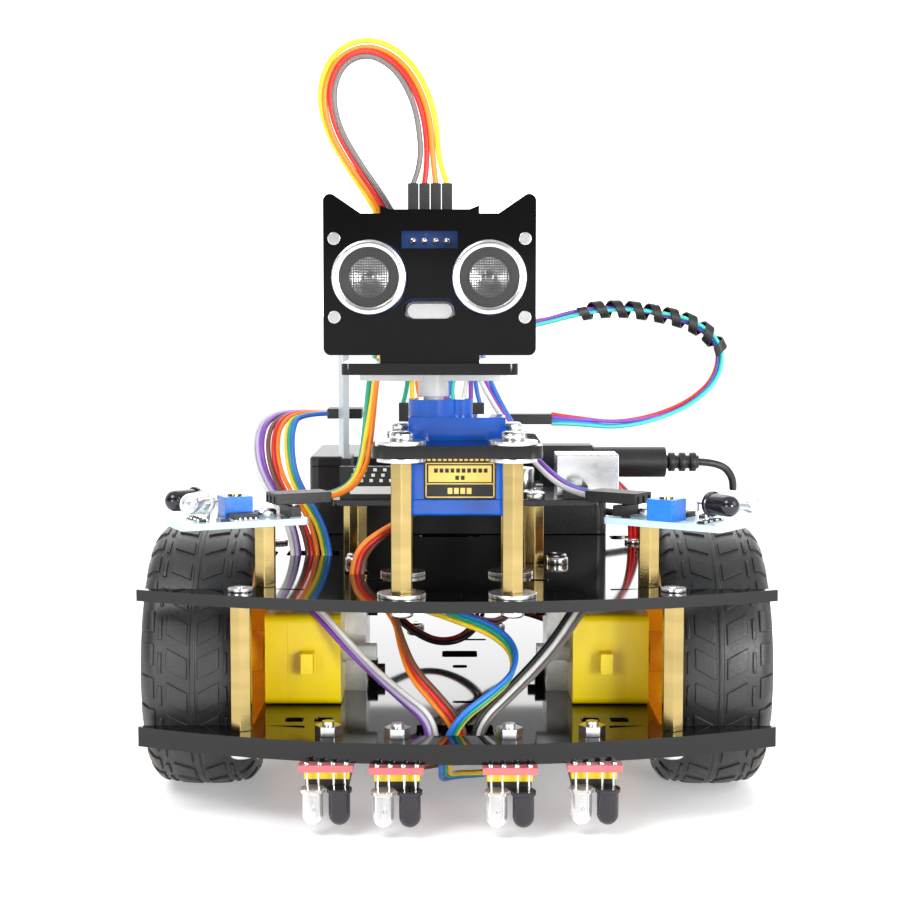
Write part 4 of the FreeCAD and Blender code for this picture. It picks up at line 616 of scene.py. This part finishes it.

# eyes: a bright rolled rim, woven gauze, and behind it a flat black disc, painted shade for the shadowed hollow
# inside the can, with a silver cone
EYES = (-19.1, 6.9)
EYE_Z = 126.6
GAUZE_PITCH = 0.55
GAUZE_WIRE = 0.11       # half the width of a gauze wire
RIM = [(6.4, -1.2), (6.4, 0.8), (6.55, 1.1), (6.9, 1.25), (7.5, 1.25), (7.85, 1.1), (8.03, 0.8), (8.03, 0)]
CONE = [(4.5, -1.0), (4.3, -0.5), (3.9, -0.55), (1.6, -1.2), (1.2, -0.9), (0.7, -0.75), (0, -0.7)]
rims, shade_discs, cones, gauze = bmesh.new(), bmesh.new(), bmesh.new(), bmesh.new()
for x in EYES:
    front = facing(x, -59.85, EYE_Z, (0, -1, 0))
    spun(rims, RIM, front, 64)
    # a black disc behind the gauze: painted shade standing for the dark hollow of the can
    spun(shade_discs, [(6.5, -1.1), (5.0, -1.15), (4.6, -1.5), (0, -1.6)], front, 48)
    spun(cones, CONE, front, 48)
    for k in range(-11, 12):
        across = GAUZE_PITCH * k
        reach = math.sqrt(max(0.2, 6.42 ** 2 - across ** 2))
        low, high = across - GAUZE_WIRE, across + GAUZE_WIRE
        box(gauze, (x - reach, x + reach), (-60.3, -60.22), (EYE_Z + low, EYE_Z + high))
        box(gauze, (x + low, x + high), (-60.38, -60.3), (EYE_Z - reach, EYE_Z + reach))
made("eye_rims", rims, M["can"], "head")
made("eye_shade_discs", shade_discs, M["black"], "head")
made("eye_cones", cones, M["can"], "head")
made("eye_gauze", gauze, M["mesh"], "head", smooth=False)


def round_ended(bm, x, z, radius, run, y):
    """A bar with two round ends, lying along X and reaching from y[0] to y[1]."""
    loops = []
    for depth in y:
        loop = []
        for k in range(32):
            turn = 2 * math.pi * k / 32
            middle = x + run * (1 if math.cos(turn) > 0 else -1)
            loop.append(bm.verts.new(at(middle + radius * math.cos(turn), depth, z + radius * math.sin(turn))))
        loops.append(loop)
    for k in range(32):
        n = (k + 1) % 32
        bm.faces.new([loops[0][k], loops[0][n], loops[1][n], loops[1][k]])
    bm.faces.new(list(reversed(loops[0])))
    bm.faces.new(loops[1])


bm = bmesh.new()
round_ended(bm, -6.1, 119.3, 1.95, 3.25, (-49.3, -45.0))
round_ended(bm, -6.1, 119.3, 2.3, 3.4, (-45.3, -44.6))
made("crystal_can", bm, M["can"], "head", 0.3, 3)

# servo label and its print
chips("servo_label", [((-7.8, 9.2), (-30.12, -29.95), (75.2, 86.0))], M["black"])
gold = [((-7.4, 8.8), (-30.2, -30.1), (z, z + 0.25)) for z in (75.6, 78.75, 83.55)]
gold += [((x, x + 0.25), (-30.2, -30.1), (75.6, 83.8)) for x in (-7.4, 8.55)]
gold += [((-6.7, 8.1), (-30.2, -30.1), (79.3, 83.2))]
gold += [((-2.2 + 1.5 * k, -1.1 + 1.5 * k), (-30.2, -30.1), (76.5, 77.9)) for k in range(4)]
gold += [((-7.0 + 1.25 * k, -6.2 + 1.25 * k), (-30.2, -30.1), (84.3, 85.1)) for k in range(12)]
chips("servo_label_gold", gold, M["gold"], bevel=0.0)
marks = [((-5.4 + 1.3 * k, -4.5 + 1.3 * k), (-30.25, -30.15), (81.5, 82.5)) for k in range(10)]
marks += [((-0.4 + 1.3 * k, 0.5 + 1.3 * k), (-30.25, -30.15), (79.8, 80.8)) for k in range(2)]
chips("servo_label_marks", marks, M["black"], bevel=0.0)

# controller board: small parts and printed marks
random.seed(3)
small = []
for k in range(26):
    x, y = random.uniform(-25, 30), random.uniform(16, 44)
    if x > 22 and 15 < y < 33:
        continue
    w, d = random.choice([(1.6, 0.8), (0.8, 1.6), (2.0, 1.25)])
    small.append(((x, x + w), (y, y + d), (BOARD, BOARD + 0.6)))
chips("controller_chips", small, M["aluminium"])
chips("controller_cans", [((12, 18), (36, 42), (BOARD, BOARD + 1.8)), ((-4, 3), (24, 31), (BOARD, BOARD + 1.2)),
                          ((-22, -16), (22, 27), (BOARD, BOARD + 1.4))], M["black"])
marks = [((-15 + PITCH * k, -14.2 + PITCH * k), (13.4, 14.8), (BOARD, BOARD + 0.04)) for k in range(13)]
marks += [((-16.5, 18.6), (9.5, 9.75), (BOARD, BOARD + 0.04)), ((-28, -19), (16, 16.3), (BOARD, BOARD + 0.04)),
          ((-28, -19), (19, 19.3), (BOARD, BOARD + 0.04))]
chips("controller_marks", marks, M["silk"], bevel=0.0)
marks = [((-27.6, -11.4), (10.12, 10.26), (72.2, 74.2))]
marks += [((x, x + 0.9), (10.12, 10.26), (75.3 + 1.4 * row, 76.1 + 1.4 * row)) for row in range(3)
          for x in [-27.6 + PITCH * k + 0.5 * row for k in range(16)]]
chips("socket_marks", marks, M["silk"], bevel=0.0)
bm = bmesh.new()
for x, y, r, h in ((18, 30, 3.1, 6.5), (9, 44.8, 0.9, 2.0)):
    can = [(0, 0), (r, 0), (r, 0.6), (r * 0.95, 0.9), (r, 1.2), (r, h - 0.4), (r * 0.9, h), (0, h)]
    spun(bm, can, facing(x, y, BOARD, (0, 0, 1)))
made("controller_capacitors", bm, M["can"], "chassis")

# obstacle boards: resistors, printed outline and header pins
PRINTED = (
    (-4.7, -4.4, 0.25, 8.8), (-8.2, -4.4, 3.6, 0.25), (-8.2, 4.2, 3.6, 0.25), (14.6, -6, 0.25, 10.4),
    (18.2, -6, 0.25, 10.4), (2.6, 6.2, 7.4, 0.25), (11.2, -5.4, 1.6, 0.5), (11.2, -3.6, 1.6, 0.5),
)
for side, word in ((-1, "left"), (1, "right")):
    place = sensor_place(side) @ Matrix.Translation(-at(0, 0, 0))
    bm = bmesh.new()
    box(bm, (-7.7, -5.0), (-3.9, 3.9), (BOARD - 0.05, BOARD + 2.55), place)
    box(bm, (3.35, 9.45), (1.35, 5.65), (BOARD + 0.25, BOARD + 1.5), place)
    made("sensor_header_" + word, bm, M["black"], "chassis", 0.12)
    bm = bmesh.new()
    for k in range(4):
        for y in (0.6, 5.5):
            box(bm, (4.1 + 1.27 * k, 4.6 + 1.27 * k), (y, y + 0.95), (BOARD, BOARD + 0.75), place)
    for y in (-PITCH, 0, PITCH):
        box(bm, (-6.65, -5.95), (y - 0.33, y + 0.33), (BOARD + 2.5, BOARD + 4.65), place)
        box(bm, (-6.65, -2.5), (y - 0.33, y + 0.33), (BOARD + 3.97, BOARD + 4.65), place)
    made("sensor_pins_" + word, bm, M["solder"], "chassis", 0.06)
    bm = bmesh.new()
    for x, y in ((15.5, -5.2), (15.5, -2.6), (15.5, 0.4), (15.5, 3), (-4.2, 4.9), (10.4, 4.6), (-4.2, -5.8)):
        box(bm, (x, x + 2.0), (y, y + 1.1), (BOARD, BOARD + 0.55), place)
    made("sensor_resistors_" + word, bm, M["black"], "chassis", 0.08)
    bm = bmesh.new()
    for x, y in [(x, y) for y in (-5.2, -2.6, 0.4, 3) for x in (15.3, 17.3)]:
        box(bm, (x, x + 0.4), (y, y + 1.1), (BOARD, BOARD + 0.57), place)
    made("sensor_joints_" + word, bm, M["solder"], "chassis", 0.05)
    bm = bmesh.new()
    for x, y, w, d in PRINTED:
        box(bm, (x, x + w), (y, y + d), (BOARD, BOARD + 0.03), place)
    made("sensor_print_" + word, bm, M["silk"], "chassis")

# line sensors: yellow header strips under the boards
strips = [((x - 5.2, x + 5.2), (line_front(x) + 3.8, line_front(x) + 6.5), (12.66, 15.18)) for x in LINE_X]
chips("line_headers", strips, M["lemon"])

# ------------------------------------------------------------------ stage, light and camera

FLOOR = 40              # half the floor's width, metres
bm = bmesh.new()
for x, y in ((-FLOOR, -FLOOR), (FLOOR, -FLOOR), (FLOOR, FLOOR), (-FLOOR, FLOOR)):
    bm.verts.new((x, y, 0))
bm.faces.new(bm.verts)
mesh = bpy.data.meshes.new("floor")
bm.to_mesh(mesh)
bm.free()
floor = bpy.data.objects.new("floor", mesh)
bpy.context.scene.collection.objects.link(floor)
paper = material("pale_paper", (0.96, 0.96, 0.96), 0.8, vary=0.01, grain=400, bump=0.02)
shader = paper.node_tree.nodes["Principled BSDF"]
shader.inputs["Emission Color"].default_value = (1, 1, 1, 1)
shader.inputs["Emission Strength"].default_value = 0.28
mesh.materials.append(paper)

world = bpy.data.worlds.new("studio")
bpy.context.scene.world = world
world.use_nodes = True
tree = world.node_tree
sky = tree.nodes["Background"]
toward = tree.nodes.new("ShaderNodeTexCoord")
split = tree.nodes.new("ShaderNodeSeparateXYZ")
tree.links.new(toward.outputs["Generated"], split.inputs["Vector"])


def ranged(socket, low, high, out_low, out_high):
    node = tree.nodes.new("ShaderNodeMapRange")
    node.interpolation_type = "SMOOTHSTEP"
    for name, value in (("From Min", low), ("From Max", high), ("To Min", out_low), ("To Max", out_high)):
        node.inputs[name].default_value = value
    tree.links.new(socket, node.inputs["Value"])
    return node.outputs["Result"]


def combined(kind, a, b):
    node = tree.nodes.new("ShaderNodeMath")
    node.operation = kind
    tree.links.new(a, node.inputs[0])
    tree.links.new(b, node.inputs[1])
    return node.outputs[0]


# white behind, above and just over the floor, strongest low behind; dim in front, and a little brighter from
# the right than from the left
behind = ranged(split.outputs["Y"], -0.15, 0.3, 0.0, 1.0)
near_floor = ranged(split.outputs["Z"], 0.25, 0.45, 1.0, 0.0)
low = combined("MULTIPLY", ranged(split.outputs["Y"], 0.6, 0.85, 0.0, 2.6), near_floor)
right = ranged(split.outputs["X"], -0.4, 0.7, 0.06, 0.45)
above = ranged(split.outputs["Z"], 0.35, 0.8, 0.0, 0.75)
level = combined("MAXIMUM", combined("MAXIMUM", behind, right), combined("MAXIMUM", above, low))
level = combined("MAXIMUM", level, ranged(split.outputs["Z"], 0.02, 0.05, 1.0, 0.0))
tree.links.new(level, sky.inputs["Strength"])
sky.inputs["Color"].default_value = (1.0, 1.0, 1.0, 1)


def area(name, spot, aim, size, power):
    data = bpy.data.lights.new(name, "AREA")
    data.shape = "RECTANGLE"
    data.size, data.size_y = size
    data.energy = power
    obj = bpy.data.objects.new(name, data)
    bpy.context.scene.collection.objects.link(obj)
    obj.location = spot
    obj.rotation_euler = (Vector(aim) - Vector(spot)).to_track_quat("-Z", "Y").to_euler()


area("key", (-0.5, -0.6, 0.9), (0, 0, 0.06), (0.5, 0.5), 6.5)
area("fill", (0.8, -0.5, 0.5), (0, 0, 0.06), (0.6, 0.6), 3.5)
area("rear", (0, 0.9, 0.8), (0, 0, 0.06), (1.2, 0.6), 5.0)
for name, x, power in (("front_left", -0.5, 2.5), ("front_right", 0.5, 6.5)):
    area(name, (x, -0.95, 0.2), (0, 0, 0.06), (0.35, 0.25), power)

camera_data = bpy.data.cameras.new("camera")
camera = bpy.data.objects.new("camera", camera_data)
bpy.context.scene.collection.objects.link(camera)
bpy.context.scene.camera = camera
camera.location = at(-1.07, -435.2, 119.18)
camera.rotation_euler = (math.radians(85.436), 0, math.radians(0.081))
camera_data.sensor_width = 36
camera_data.lens = 69.25
camera_data.clip_start = 0.01
bpy.context.scene.view_settings.view_transform = "Standard"

bpy.context.view_layer.update()
